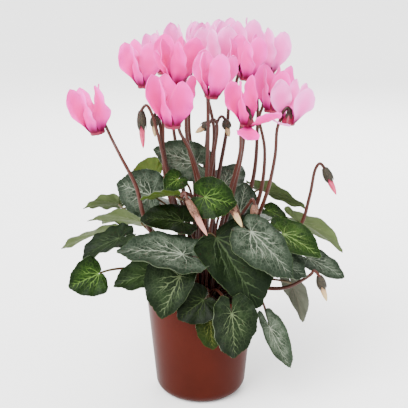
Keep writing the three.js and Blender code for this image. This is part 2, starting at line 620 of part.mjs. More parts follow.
// A flower's stalk rises from the crown, slips in between two petals and hooks over into the calyx.
function bloomStalk(bloom, start) {
  const axes = bloomAxes(bloom);
  const k = bloom.size;
  const hook = [[12, -7], [9.8, 4], [7.4, 14], [2.6, 19], [0, 15], [0, NOSE_LENGTH + SEAT_GAP / k]];
  const points = [start, ...bloom.through.map(vector)];
  for (const [towardsGap, along] of hook) points.push(bloomPoint(axes, towardsGap * k, 0, along * k));
  const curve = new THREE.CatmullRomCurve3(points, false, "centripetal");
  const radius = (share) => (share > CALYX_FROM ? CALYX_RADIUS : stalkRadius(share));
  return hookedStem(curve, STALK_STEPS, radius);
}

// Spaces the rings of a stalk closely round its hook and widely along its straight part.
function hookedStem(curve, steps, radius) {
  const eased = Object.create(curve);
  const straightRings = 0.4;
  const straightLength = 0.8;
  const ease = (share) =>
    share < straightRings
      ? (share / straightRings) * straightLength
      : straightLength + ((share - straightRings) / (1 - straightRings)) * (1 - straightLength);
  eased.getPointAt = (share) => curve.getPointAt(ease(share));
  eased.getTangentAt = (share) => curve.getTangentAt(ease(share));
  return stem(eased, steps, STALK_SIDES, (share) => radius(ease(share)));
}

function budStalk(bud, start) {
  const crest = vector(bud.crest);
  const neck = vector(bud.neck);
  const tip = vector(bud.tip);
  const calyxEnd = neck.clone().lerp(tip, BUD_CALYX_SHARE);
  const nod = new THREE.Vector3(crest.x - neck.x, crest.y - neck.y, 0).setLength(4);
  const shoulder = crest.clone().add(nod).add(new THREE.Vector3(0, 0, -5));
  const calyx = [neck, neck.clone().lerp(calyxEnd, 0.5), calyxEnd];
  const points = [start, ...bud.through.map(vector), shoulder, crest, ...calyx];
  const curve = new THREE.CatmullRomCurve3(points, false, "centripetal");
  const total = curve.getLength();
  const calyxFrom = 1 - neck.distanceTo(calyxEnd) / total;
  const radius = (share) => {
    if (share < calyxFrom) return stalkRadius(share);
    const along = (share - calyxFrom) / (1 - calyxFrom);
    return HOOK_RADIUS + BUD_CALYX_SWELL * Math.sin(Math.PI * (0.12 + along * 0.72));
  };
  return hookedStem(curve, BUD_STALK_STEPS, radius);
}

function budSpindle(bud, gap) {
  const neck = vector(bud.neck);
  const tip = vector(bud.tip);
  const axis = tip.clone().sub(neck).normalize();
  const start = neck.clone().lerp(tip, BUD_CALYX_SHARE).addScaledVector(axis, gap);
  const length = start.distanceTo(tip);
  const girth = [[0.8, 0], [1, 0.3], [0.66, 0.7]];
  const profile = [[0, 0], ...girth.map(([r, z]) => [r * BUD_RADIUS, z * length]), [0, length]];
  const spindle = turned(profile, BUD_SIDES);
  const turn = new THREE.Quaternion().setFromUnitVectors(new THREE.Vector3(0, 0, 1), axis);
  spindle.applyQuaternion(turn).translate(start.x, start.y, start.z);
  return solidOf(spindle);
}

function budHead(bud, index) {
  return named(numbered("bud", index), geometryOf(budSpindle(bud, SEAT_GAP)), "bud");
}

function allStalks() {
  const heads = [...LEAVES.map(({ at }) => at), ...BLOOMS.map(({ mouth }) => mouth)];
  const feet = crownFeet([...heads, ...BUDS.map(({ crest }) => crest)].map(vector));
  return [
    ...LEAVES.map((leaf) => petiole(leaf, feet.shift())),
    ...BLOOMS.map((bloom) => bloomStalk(bloom, feet.shift())),
    ...BUDS.map((bud) => budStalk(bud, feet.shift())),
  ];
}

function tuberAndStems() {
  let body = solidOf(tuberGeometry(0));
  for (const stalk of allStalks()) body = body.add(stalk);
  for (const bud of BUDS.filter(({ small }) => small)) body = body.add(budSpindle(bud, -1));
  return named("tuber_and_stems", geometryOf(body), "stem");
}

const cyclamen = new THREE.Group();
cyclamen.add(pot(), soil(), tuberAndStems());
cyclamen.add(...LEAVES.map(leafBlade));
cyclamen.add(...BLOOMS.map(bloomHead));
cyclamen.add(...BUDS.filter(({ small }) => !small).map(budHead));

export default cyclamen;
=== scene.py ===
# A potted cyclamen in flower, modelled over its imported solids: marbled blades with forked veins, swept-back
# petals, red-brown stalks, nodding buds, crumbly soil and a satin plastic pot.
#
# Places and sizes are in millimetres and become metres as each piece is made. Only those of the floor and the
# lamps are in metres.
import math

import bpy
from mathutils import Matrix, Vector, noise


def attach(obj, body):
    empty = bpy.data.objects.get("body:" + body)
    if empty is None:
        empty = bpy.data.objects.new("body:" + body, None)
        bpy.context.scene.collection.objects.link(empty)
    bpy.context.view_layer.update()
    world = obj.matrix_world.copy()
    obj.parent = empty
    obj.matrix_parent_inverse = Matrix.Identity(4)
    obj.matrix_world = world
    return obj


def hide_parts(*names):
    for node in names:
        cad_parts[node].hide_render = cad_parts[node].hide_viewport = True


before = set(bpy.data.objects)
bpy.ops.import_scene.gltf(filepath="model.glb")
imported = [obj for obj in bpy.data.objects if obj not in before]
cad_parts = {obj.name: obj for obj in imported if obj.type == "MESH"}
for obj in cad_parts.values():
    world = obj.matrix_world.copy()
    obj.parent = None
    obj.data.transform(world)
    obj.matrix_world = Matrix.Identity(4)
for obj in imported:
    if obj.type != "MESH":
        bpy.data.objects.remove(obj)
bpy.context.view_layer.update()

MM = 0.001
TURN = 2 * math.pi

# The pot and what it holds.
POT_DIAMETER = 120
POT_HEIGHT = 118
POT_WALL = 1.6
POT_TAPER = 0.09
FOOT_RADIUS = 38
FOOT_WIDTH = 4.5
FOOT_HEIGHT = 4
FOOT_NOTCHES = 4
FOOT_NOTCH_TURN = 0.08
FOOT_NOTCH_WIDTH = 13
CORNER_RADIUS = 13
BEAD_HEIGHT = 4
BEAD_STEP = 1.2
DRAIN_HOLES = 5
DRAIN_RADIUS = 4
DRAIN_CIRCLE = 22
PAD_RADIUS = 14

SOIL_BELOW_RIM = 12
SOIL_TOP = POT_HEIGHT - SOIL_BELOW_RIM
SOIL_MOUND = 3
SOIL_ROUGHNESS = 1.2
CRUST_THICKNESS = 2.4
CRUST_RISE = 0.9
CRUMBS = 170
CRUMB_RADIUS = 1.5
SEAT_GAP = 0.3

TUBER = Vector((3, 0, 104))
TUBER_RADIUS = 28
TUBER_HALF_HEIGHT = 13
CROWN_RADIUS = 22
CROWN_LEAN = 1.3
STALK_SINK = 3

# The plant. The hook of a flower's stalk is given by radius and height from the bloom's mouth, at full size.
STALK_RADIUS = 2.4
HOOK_RADIUS = 1.6
HOOK_FROM = 0.8
HOOK = [(12, -7), (9.8, 4), (7.4, 14), (2.6, 19), (0, 15)]
PETIOLE_RADIUS = 1.7
PETIOLE_TIP_RADIUS = 1.15

# A blade's outline and relief are shares of its length, and its angles are radians from its tip. The depth of
# its frill is drawn from a range.
BLADE_THICKNESS = 0.7
BLADE_HALF_ANGLE = 2.98
OUTLINE_WIDTH = 1.36
BLADE_TEETH = 46
TOOTH_DEPTH = 0.02
CORNER_DEPTH = 0.014
VEIN_SPACING = 0.62
BLADE_RIPPLE = 0.035
BLADE_FRILL = (0.014, 0.034)
BLADE_QUILT = 0.028
BLADE_ARCH = 0.2

# A petal starts at its root, given by radius and height. It sets out at an angle from the bloom's axis, turns
# back within the share of its length that is its bend, and closes in a little on its way to the tip. Its
# angles are in degrees, and a pair of them is the range that the petals' own are drawn from. A petal that has
# fallen past the flat lean is hardly twisted.
PETAL_THICKNESS = 0.5
PETAL_LENGTH = 50
PETAL_WIDTH = 24
PETAL_RING = [50, 115, 180, 245, 310]
PETAL_ROOT = (4.2, 0.9)
PETAL_SET_OUT = 98
PETAL_BEND = 0.055
PETAL_CLOSING = 14
PETAL_LEAN = (14, 22)
PETAL_TWIST = (42, 66)
FLAT_LEAN = 50
FLAT_TWIST = 12
PETAL_CUP = 0.16
PETAL_CURL = 0.12
PETAL_CRUMPLE = 1.1
PETAL_WAVE = 0.9
PETAL_TRANSLUCENCE = 0.38

# The section of a bloom's tube, as radius and height: down its inside, round the rolled mouth and up again.
NOSE_LENGTH = 12
NOSE = [
    (0, 10), (1.6, 9.8), (3.6, 7.5), (5.2, 3.6), (6.1, 0.9), (6.5, -0.3), (6.9, -0.6), (7.4, 0.1),
    (7.7, 1.3), (7.3, 3), (6.2, 5.4), (4.9, 8), (3.8, 10.3), (3.1, NOSE_LENGTH), (0, NOSE_LENGTH),
]
STYLE_RADIUS = 0.7
SEPALS = 5
SEPAL_THICKNESS = 0.5

# The furled petals of a bud, whose girth is given as shares of its length and radius.
BUD_RADIUS = 2.8
BUD_CALYX_SWELL = 3
TENDER_SWELL = 0.65
BUD_CALYX_SHARE = 0.4
BUD_GIRTH = [(0, 0), (0.12, 0.8), (0.35, 1), (0.6, 0.84), (0.8, 0.55), (0.93, 0.28), (1, 0)]

# The studio.
FLOOR_SIZE = 40
ROOM_LIGHT = 1.67
SUN_PLACE = (-1, -1.4, 2)
SUN_POWER = 7.2
SUN_SPREAD = 40
LAMPS = [
    dict(name="Left", place=(-1.2, -0.5, 0.5), size=(0.4, 1.4), power=9),
    dict(name="Right", place=(1.2, -0.6, 0.5), size=(0.4, 1.4), power=9),
    dict(name="Back", place=(0.3, 1.3, 1.2), size=(1.2, 1.2), power=36),
]
LIT_POINT = Vector((0, 0, 0.2))
CAMERA_EYE = Vector((3.8, -840, 472))
CAMERA_TARGET = Vector((3.8, 0, 211))
CAMERA_SENSOR = 36
CAMERA_LENS = 73.9

# The blades. "at" is where the stalk meets the blade, in the notch of the heart, and "tip" is where the blade
# points; "faces" is the way its upper side looks. "lobes" shortens the two lobes beside the notch, "skew"
# widens one half and narrows the other, and "fold" is how far each half is folded up, in degrees. "through"
# bends a stalk round what stands in its way, and "arrive" is the angle between the end of the stalk and the
# blade's normal. The plain leaf has what a row leaves out.
PLAIN_LEAF = dict(lobes=0.9, skew=0, fold=12, arrive=40, through=[])
LEAVES = [
    # Front and left, from the lowest up.
    dict(at=[-102, -56, 155], tip=[-132, -60, 142], faces=[-0.1, -1, 0.3], width=41, lobes=0.3,
         tone="young"),
    dict(at=[-18, -62, 178], tip=[-81, -72, 186], faces=[0, -0.55, 0.85], width=48, skew=0.06,
         tone="silver"),
    dict(at=[-19, -34, 203], tip=[-60, -40, 207], faces=[0, -0.5, 0.85], width=40, lobes=0.75,
         tone="dark"),
    dict(at=[-52, -2, 221], tip=[-87, 4, 232], faces=[-0.2, -0.85, 0.45], width=52, lobes=0.7,
         tone="silver"),
    dict(at=[-28, -28, 229], tip=[-60, -32, 225], faces=[0, 0.5, 0.85], width=30, lobes=0.7,
         tone="young", through=[[-4, -8, 202], [-14, -12, 222]], arrive=55),
    dict(at=[-49, 24, 235], tip=[-74, 26, 237], faces=[0, 0.85, -0.3], width=42, lobes=0.6,
         tone="young"),
    dict(at=[-6, 14, 252], tip=[-48, 10, 268], faces=[0, -0.95, 0.35], width=42, tone="silver"),
    dict(at=[-22, -44, 250], tip=[-35, -54, 243], faces=[0, -0.8, 0.6], width=24, tone="young"),
    dict(at=[-90, 28, 203], tip=[-127, 26, 198], faces=[0, 0.7, 0.7], width=30, tone="silver",
         through=[[-30, 14, 190], [-62, 24, 212]]),
    dict(at=[-64, 4, 190], tip=[-119, 2, 192], faces=[0, 0.65, 0.75], width=36, tone="dark"),
    dict(at=[-105, 22, 172], tip=[-151, 18, 154], faces=[-0.2, 0.5, 0.8], width=30, tone="dark"),
    dict(at=[-84, -30, 183], tip=[-121, -38, 165], faces=[-0.35, -0.35, 0.85], width=40, tone="dark"),
    dict(at=[-38, -44, 152], tip=[-87, -58, 144], faces=[-0.1, -0.55, 0.8], width=44, tone="dark"),
    dict(at=[-20, -67, 156], tip=[-38, -82, 118], faces=[-0.1, -0.9, 0.45], width=50, skew=-0.35,
         tone="dark", through=[[-2, -44, 132], [-14, -60, 141]]),
    dict(at=[5, -58, 236], tip=[35, -62, 230], faces=[0.05, -0.95, 0.35], width=42, tone="young",
         through=[[6, -22, 200], [4, -42, 228]]),
    dict(at=[3, -69, 132], tip=[-22, -77, 115], faces=[0, -0.9, 0.4], width=42, lobes=0.6, tone="dark"),
    dict(at=[10, -67, 106], tip=[13, -70, 78], faces=[0, -1, 0.1], width=30, tone="young",
         through=[[9, -46, 127], [10, -61, 124]], arrive=60),
    dict(at=[31, -85, 124], tip=[33, -89, 79], faces=[0.35, -0.9, 0.2], width=50, fold=20, tone="dark"),
    # Right side.
    dict(at=[16, -50, 191], tip=[58, -76, 127], faces=[0.05, -0.8, 0.55], width=76, lobes=0.2, skew=0.28,
         tone="dark"),
    dict(at=[50, -66, 203], tip=[91, -80, 161], faces=[0.15, -0.75, 0.65], width=50, lobes=0.5,
         skew=-0.2, tone="silver", through=[[20, -18, 206], [34, -35, 224]]),
    dict(at=[72, -55, 94], tip=[93, -58, 50], faces=[-0.3, -0.9, 0.1], width=26, skew=0.3, tone="silver",
         through=[[40, -30, 128], [62, -45, 122]], arrive=55),
    dict(at=[96, -22, 130], tip=[110, -24, 88], faces=[0.4, 0.8, 0.2], width=26, tone="dark"),
    dict(at=[113, -27, 160], tip=[149, -30, 140], faces=[0.2, -0.6, 0.75], width=30, tone="silver"),
    dict(at=[85, -36, 190], tip=[121, -50, 171], faces=[0.2, -0.65, 0.7], width=38, tone="young"),
    dict(at=[108, 14, 186], tip=[153, 6, 156], faces=[0.2, 0.6, 0.7], width=38, tone="silver"),
    dict(at=[66, 40, 216], tip=[117, 38, 191], faces=[0.1, 0.6, 0.8], width=32, lobes=0.7,
         tone="silver"),
    dict(at=[42, 8, 200], tip=[48, 15, 230], faces=[0, -0.9, -0.2], width=38, tone="silver"),
    dict(at=[72, 12, 200], tip=[92, 6, 189], faces=[0.3, -0.3, 0.9], width=28, lobes=0.6, tone="young"),
    dict(at=[76, -42, 162], tip=[108, -50, 150], faces=[0.2, -0.6, 0.75], width=36, tone="silver"),
    # Back.
    dict(at=[26, 38, 222], tip=[46, 60, 236], faces=[0, -0.6, 0.8], width=36, tone="silver"),
    dict(at=[-60, 54, 172], tip=[-114, 90, 158], faces=[-0.3, 0.4, 0.9], width=66, tone="silver"),
    dict(at=[-20, 62, 192], tip=[-34, 128, 174], faces=[-0.1, 0.4, 0.9], width=70, tone="silver"),
    dict(at=[26, 60, 152], tip=[38, 122, 132], faces=[0.1, 0.5, 0.85], width=74, tone="dark"),
    dict(at=[72, 54, 174], tip=[120, 86, 158], faces=[0.3, 0.4, 0.9], width=64, tone="silver"),
]

# The blooms. "mouth" is the centre of the flower's mouth, and "axis" the way its petals are swept. "through"
# bends the stalk. "gap" is the compass direction of the gap that the stalk slips through, in degrees from +X.
# "fallen" gives a petal, by its place in the ring, a direction, a lean and maybe a twist of its own.
BLOOMS = [
    dict(mouth=[-103, -15, 290], axis=[-0.2, 0, 1], size=1,
         through=[[-56, -24, 200], [-65, -26, 238], [-80, -22, 268]], fallen={4: [318, 14, 105]}),
    dict(mouth=[-56, 2, 334], axis=[-0.1, 0, 1], size=0.94, through=[[-31, -8, 232], [-41, -4, 297]]),
    dict(mouth=[-23, -16, 339], axis=[0.02, -0.05, 1], size=1,
         through=[[-2, -8, 226], [-14, -12, 290]]),
    dict(mouth=[-26, -54, 305], axis=[0, -0.1, 1], size=1.04, through=[[1, -22, 230], [-10, -32, 276]]),
    dict(mouth=[11, -42, 331], axis=[0.14, -0.05, 1], size=0.92,
         through=[[6, -20, 230], [8, -30, 290]]),
    dict(mouth=[39, 32, 352], axis=[-0.04, 0.1, 1], size=0.98, through=[[18, 14, 230], [28, 20, 290]]),
    dict(mouth=[45, -20, 345], axis=[-0.02, 0, 1], size=0.88, through=[[34, -10, 228], [44, -12, 290]]),
    dict(mouth=[70, 38, 341], axis=[0.06, 0.12, 1], size=0.96, through=[[54, 18, 224], [60, 24, 290]]),
    dict(mouth=[72, 0, 309], axis=[0.06, 0.08, 1], size=0.96, through=[[60, -3, 214], [66, -4, 270]]),
    dict(mouth=[45, -62, 308], axis=[0, -0.06, 1], size=0.92, through=[[30, -30, 234], [39, -48, 280]],
         fallen={0: [184, 19], 2: [268, 98], 3: [306, 68]}),
    dict(mouth=[86, -36, 304], axis=[0.08, -0.05, 1], size=0.86, gap=185,
         through=[[63, -24, 216], [74, -34, 270]], fallen={0: [247, 80], 1: [325, 24]}),
    dict(mouth=[-16, 28, 349], axis=[-0.03, 0.06, 1], size=0.96,
         through=[[-6, 16, 230], [-12, 24, 290]]),
    dict(mouth=[7, 68, 346], axis=[0, 0.14, 1], size=1, through=[[4, 34, 230], [8, 50, 290]]),
    dict(mouth=[14, 6, 348], axis=[0, 0, 1], size=0.96, through=[[9, 2, 230], [14, 3, 290]]),
    dict(mouth=[-39, 62, 338], axis=[-0.06, 0.12, 1], size=0.96,
         through=[[-20, 26, 230], [-30, 46, 290]]),
]

# The buds. "crest" is the top of the hook, "neck" is where the green calyx begins, and "tip" is where the
# furled petals end. A small one is still one body with its stalk.
BUDS = [
    dict(crest=[-54, -12, 318], neck=[-59, -12, 312], tip=[-58, -10, 273], through=[[-32, -10, 240]]),
    dict(small=True, crest=[-43, -6, 312], neck=[-46, -6, 306], tip=[-46, -6, 284],
         through=[[-36, -6, 240]]),
    dict(crest=[13, -8, 303], neck=[9, -9, 299], tip=[-5, -9, 289], through=[[10, -8, 240]]),
    dict(small=True, crest=[22, 12, 302], neck=[26, 12, 298], tip=[30, 12, 280],
         through=[[14, 8, 240]]),
    dict(crest=[122, -12, 258], neck=[127, -12, 253], tip=[140, -14, 225],
         through=[[60, -4, 150], [103, -10, 188], [113, -10, 222]]),
    dict(crest=[116, -46, 154], neck=[121, -48, 149], tip=[130, -48, 121],
         through=[[50, -30, 129], [88, -40, 133]]),
    dict(crest=[-15, -66, 243], neck=[-12, -70, 237], tip=[7, -75, 202],
         through=[[4, -20, 206], [-8, -34, 229], [-17, -52, 239]]),
    dict(crest=[26, -50, 232], neck=[29, -53, 229], tip=[41, -67, 208], through=[[13, -34, 208]]),
    dict(crest=[52, -46, 230], neck=[54, -48, 225], tip=[53, -52, 203], through=[[40, -32, 205]]),
]

# The veins of one half of a blade, as shares of its length. Each row gives where the vein starts along the
# midrib and aside of it, its heading from the midrib in degrees, its length, its bend and its width.
VEINS = [
    (0, 0, 0, 1.02, 0, 0.02),
    (0, 0, 37, 0.64, -0.28, 0.017),
    (0, 0, 70, 0.52, -0.45, 0.014),
    (0, 0, 112, 0.44, -0.55, 0.011),
    (0, 0, 152, 0.4, -0.5, 0.01),
    (0.24, 0, 42, 0.26, -0.4, 0.011),
    (0.42, 0, 44, 0.28, -0.4, 0.011),
    (0.6, 0, 44, 0.24, -0.4, 0.01),
    (0.77, 0, 42, 0.16, 0, 0.009),
    (0.23, 0.16, 74, 0.2, -0.6, 0.01),
    (0.26, 0.175, 2, 0.26, 0.5, 0.011),
    (0.36, 0.225, 66, 0.18, -0.4, 0.01),
    (0.15, 0.265, 30, 0.2, 0.3, 0.01),
]
VEIN_STAGGER = 0.055
VEIN_DRIFT = 0.085

# Blades whose look differs from their tone, by number; the pink of each bloom; and the buds that aren't
# cream and those whose calyx is still tender, by their places in the list.
# Blades 7 and 21 take a lighter copy of the silver look: painted light, for blades that lie in shade.
LOOK_OF = {
    3: "deep", 7: "painted_lit_silver", 13: "mossy", 14: "marbled", 16: "deep", 17: "tawny", 18: "marbled",
    21: "painted_lit_silver", 22: "faded", 24: "fresh",
}
# The pale tone of the back blooms is painted backlight: a paler, bluer pink that stands for light shining
# through their petals from behind.
PETAL_TONES = ["pink", "pink", "rose", "rose", "pink", "pale_painted_backlight", "pink", "pale_painted_backlight", "pink", "rose"]
PETAL_TONES += ["pale_painted_backlight"] * 5
BUD_TONES = {0: "pink", 4: "pink", 6: "blush"}
TENDER_BUDS = {6, 7, 8}


def smooth(low, high, x):
    """Runs smoothly from 0 to 1 while x runs from low to high."""
    t = min(1.0, max(0.0, (x - low) / (high - low)))
    return t * t * (3 - 2 * t)


def mix(a, b, share):
    return a + (b - a) * share


def draw(piece, use):
    """A repeatable number from 0 to 1 for the piece and the use that it is drawn for."""
    return (math.sin(piece * 12.9898 + use * 78.233) * 43758.5453) % 1


def rumple(place, size, seed=0.0):
    """Smooth noise from -1 to 1, with bumps of about the given size in millimetres."""
    return noise.noise(Vector(place) / size + Vector((seed, 2 * seed, -seed)))


def circle(radius, angle, z=0.0):
    """The point at an angle on a level circle."""
    return Vector((radius * math.cos(angle), radius * math.sin(angle), z))


def turned(first, second, angle):
    """The first direction, turned towards the second by an angle."""
    return first * math.cos(angle) + second * math.sin(angle)


def numbered(name, index):
    """A name with a number from 01, by the place in a list."""
    return f"{name}_{index + 1:02}"


# Making meshes.
def select_only(piece):
    bpy.ops.object.select_all(action="DESELECT")
    piece.select_set(True)
    bpy.context.view_layer.objects.active = piece


def edit(piece, *operators):
    select_only(piece)
    bpy.ops.object.mode_set(mode="EDIT")
    bpy.ops.mesh.select_all(action="SELECT")
    for operator in operators:
        operator()
    bpy.ops.object.mode_set(mode="OBJECT")


def weld():
    bpy.ops.mesh.remove_doubles(threshold=0.01 * MM)


def face_outwards():
    bpy.ops.mesh.normals_make_consistent(inside=False)


def close_ends():
    bpy.ops.mesh.fill_holes(sides=0)


def modify(piece, kind, **settings):
    modifier = piece.modifiers.new(kind, kind)
    for key, value in settings.items():
        setattr(modifier, key, value)
    select_only(piece)
    bpy.ops.object.modifier_apply(modifier=modifier.name)


def surface(name, columns, rows, place):
    """A grid whose points are moved to place(across, along), both from 0 to 1; its UV map keeps the two."""
    bpy.ops.object.select_all(action="DESELECT")
    bpy.ops.mesh.primitive_grid_add(x_subdivisions=columns, y_subdivisions=rows, size=1)
    piece = bpy.context.object
    piece.name = name
    for vertex in piece.data.vertices:
        vertex.co = place(vertex.co.x + 0.5, vertex.co.y + 0.5) * MM
    return piece


def wall(piece, thickness, **settings):
    modify(piece, "SOLIDIFY", thickness=thickness * MM, offset=0, **settings)
    return piece


def joined(name, parts):
    bpy.ops.object.select_all(action="DESELECT")
    for part in parts:
        part.select_set(True)
    bpy.context.view_layer.objects.active = parts[0]
    bpy.ops.object.join()
    piece = bpy.context.object
    piece.name = name
    return piece


def dress(piece, *materials):
    piece.data.materials.clear()
    for material in materials:
        piece.data.materials.append(material)
    return piece


def settle(piece, slot, *nodes, crease=40):
    """Gives a finished piece its smooth shading and its body, and hides the imported solids that it stands
    for. Its slot is not used.
    """
    select_only(piece)
    bpy.ops.object.shade_smooth_by_angle(angle=math.radians(crease))
    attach(piece, "root")
    if nodes:
        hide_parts(*nodes)
    return piece


def assembled(name, parts, material, slot, *nodes, crease=40):
    """Joins parts of one material into a finished piece."""
    return settle(dress(joined(name, parts), material), slot, *nodes, crease=crease)


# Lines that stalks follow.
class Route:
    """A smooth line, read by its share of the length."""

    def __init__(self, samples):
        self.samples = samples
        self.reach = [0.0]
        for a, b in zip(samples, samples[1:]):
            self.reach.append(self.reach[-1] + (b - a).length)
        self.length = self.reach[-1]

    def at(self, share):
        target = min(1.0, max(0.0, share)) * self.length
        k = 1
        while k < len(self.reach) - 1 and self.reach[k] < target:
            k += 1
        span = self.reach[k] - self.reach[k - 1]
        return self.samples[k - 1].lerp(self.samples[k], (target - self.reach[k - 1]) / span)


def spline(points):
    """A line through all the points, without loops where they lie unevenly."""
    ends = [points[0] * 2 - points[1], *points, points[-1] * 2 - points[-2]]
    samples = []
    for p0, p1, p2, p3 in zip(ends, ends[1:], ends[2:], ends[3:]):
        t0, t1, t2 = [max(1e-4, (b - a).length ** 0.5) for a, b in ((p0, p1), (p1, p2), (p2, p3))]
        start = ((p1 - p0) / t0 - (p2 - p0) / (t0 + t1) + (p2 - p1) / t1) * t1
        end = ((p2 - p1) / t1 - (p3 - p1) / (t1 + t2) + (p3 - p2) / t2) * t1
        for i in range(24):
            t = i / 24
            curve = (p2 - p1) * (3 * t**2 - 2 * t**3) + start * (t - 2 * t**2 + t**3)
            samples.append(p1 + curve + end * (t**3 - t**2))
    return Route(samples + [points[-1]])


def arch(a, b, c, d):
    """A Bezier line with its two ends and two handles."""
    samples = []
    for i in range(61):
        t = i / 60
        samples.append(a * (1 - t) ** 3 + b * 3 * t * (1 - t) ** 2 + c * 3 * t**2 * (1 - t) + d * t**3)
    return Route(samples)


def tube(name, route, rings, sides, radius, ease=lambda share: share):
    """A round stem along a route. radius(share, angle) is its radius, and ease(share) spaces its rings."""
    shares = [ease(i / rings) for i in range(rings + 1)]
    centres = [route.at(share) for share in shares]
    ahead = [(centres[min(i + 1, rings)] - centres[max(i - 1, 0)]).normalized() for i in range(rings + 1)]
    side = ahead[0].orthogonal().normalized()
    frames = []
    for tangent in ahead:
        side = (side - tangent * side.dot(tangent)).normalized()
        frames.append((side, tangent.cross(side)))

    def place(across, along):
        i = round(along * rings)
        angle = across * TURN
        return centres[i] + turned(*frames[i], angle) * radius(shares[i], angle)

    piece = surface(name, sides, rings, place)
    edit(piece, weld, close_ends)
    return piece


def narrowing(share):
    """The radius of the stalk of a flower or bud, which narrows towards its hook."""
    return mix(STALK_RADIUS, HOOK_RADIUS, smooth(0.3, 0.9, share))


def hooked(share):
    """Spreads half of a stalk's rings along its straight part and sets the rest close round its hook."""
    if share < 0.5:
        return mix(0, HOOK_FROM, 2 * share)
    return mix(HOOK_FROM, 1, 2 * share - 1)


# Materials.
def linear(channel):
    """How bright a channel of a screen's colour is."""
    c = channel / 255
    return c / 12.92 if c <= 0.04045 else ((c + 0.055) / 1.055) ** 2.4


def colour(red, green, blue):
    """A colour as a screen shows it, from 0 to 255."""
    return (linear(red), linear(green), linear(blue), 1)


class Wire:
    """A number inside a material, so that its nodes can be written as sums."""

    def __init__(self, tree, socket):
        self.tree = tree
        self.socket = socket

    def math(self, operation, *others, clamp=False):
        node = self.tree.nodes.new("ShaderNodeMath")
        node.operation = operation
        node.use_clamp = clamp
        for socket, value in zip(node.inputs, (self, *others)):
            connect(self.tree, value, socket)
        return Wire(self.tree, node.outputs[0])

    def __add__(self, other):
        return self.math("ADD", other)

    def __sub__(self, other):
        return self.math("SUBTRACT", other)

    def __mul__(self, other):
        return self.math("MULTIPLY", other)

    def __abs__(self):
        return self.math("ABSOLUTE")

    def least(self, other):
        return self.math("MINIMUM", other)

    def most(self, other):
        return self.math("MAXIMUM", other)

    def step(self, low, high, start=0.0, end=1.0):
        """Runs smoothly from start to end while this number runs from low to high."""
        node = self.tree.nodes.new("ShaderNodeMapRange")
        node.interpolation_type = "SMOOTHSTEP"
        connect(self.tree, self, node.inputs["Value"])
        for key, value in zip(("From Min", "From Max", "To Min", "To Max"), (low, high, start, end)):
            connect(self.tree, value, node.inputs[key])
        return Wire(self.tree, node.outputs["Result"])


def connect(tree, value, socket):
    if isinstance(value, Wire):
        tree.links.new(value.socket, socket)
    elif isinstance(value, bpy.types.NodeSocket):
        tree.links.new(value, socket)
    else:
        socket.default_value = value


class Finish:
    """A material under construction, with short calls for the nodes that the pieces here need."""

    def __init__(self, name, roughness, **settings):
        self.material = bpy.data.materials.new(name)
        self.material.use_nodes = True
        self.tree = self.material.node_tree
        self.shader = self.tree.nodes["Principled BSDF"]
        self.shader.inputs["Roughness"].default_value = roughness
        for key, value in settings.items():
            self.shader.inputs[key.replace("_", " ")].default_value = value

    def node(self, kind, **inputs):
        node = self.tree.nodes.new(kind)
        for key, value in inputs.items():
            connect(self.tree, value, node.inputs[key.replace("_", " ")])
        return node

    def place(self):
        """Where the point lies on the object, in millimetres."""
        scale = self.node("ShaderNodeVectorMath")
        scale.operation = "SCALE"
        self.tree.links.new(self.node("ShaderNodeTexCoord").outputs["Object"], scale.inputs[0])
        scale.inputs["Scale"].default_value = 1 / MM
        return scale.outputs[0]

    def split(self, vector):
        """The three numbers of a vector."""
        node = self.node("ShaderNodeSeparateXYZ", Vector=vector)
        return [Wire(self.tree, node.outputs[axis]) for axis in "XYZ"]

    def map(self, name):
        """The two numbers of a UV map."""
        node = self.node("ShaderNodeUVMap")
        node.uv_map = name
        return self.split(node.outputs[0])[:2]

    def vector(self, x, y, z=0.0):
        return self.node("ShaderNodeCombineXYZ", X=x, Y=y, Z=z).outputs[0]

    def attribute(self, name):
        node = self.node("ShaderNodeAttribute")
        node.attribute_name = name
        return Wire(self.tree, node.outputs["Fac"])

    def noise(self, vector, size, detail=3.0, rough=0.55):
        """Noise from 0 to 1 with bumps of about the given size."""
        node = self.node("ShaderNodeTexNoise", Vector=vector, Scale=1 / size, Detail=detail, Roughness=rough)
        return Wire(self.tree, node.outputs["Fac"])

    def cells(self, vector, size):
        """How far the point lies from the border of its cell."""
        node = self.node("ShaderNodeTexVoronoi", Vector=vector, Scale=1 / size)
        node.feature = "DISTANCE_TO_EDGE"
        return Wire(self.tree, node.outputs["Distance"])

    def blend(self, share, first, second):
        """Goes from the first colour to the second, each a socket or a plain colour as a screen shows it."""
        node = self.node("ShaderNodeMix")
        node.data_type = "RGBA"
        connect(self.tree, share, node.inputs[0])
        for socket, value in ((6, first), (7, second)):
            connect(self.tree, colour(*value) if isinstance(value, tuple) else value, node.inputs[socket])
        return node.outputs[2]

    def coat(self, base, height=None, strength=0.3, distance=0.5, roughness=None):
        """Sets the colour, the relief in millimetres, and a roughness that varies."""
        connect(self.tree, base, self.shader.inputs["Base Color"])
        if roughness is not None:
            connect(self.tree, roughness, self.shader.inputs["Roughness"])
        if height is not None:
            bump = self.node("ShaderNodeBump", Height=height)
            bump.inputs["Strength"].default_value = strength
            bump.inputs["Distance"].default_value = distance * MM
            self.tree.links.new(bump.outputs[0], self.shader.inputs["Normal"])
        return self.material


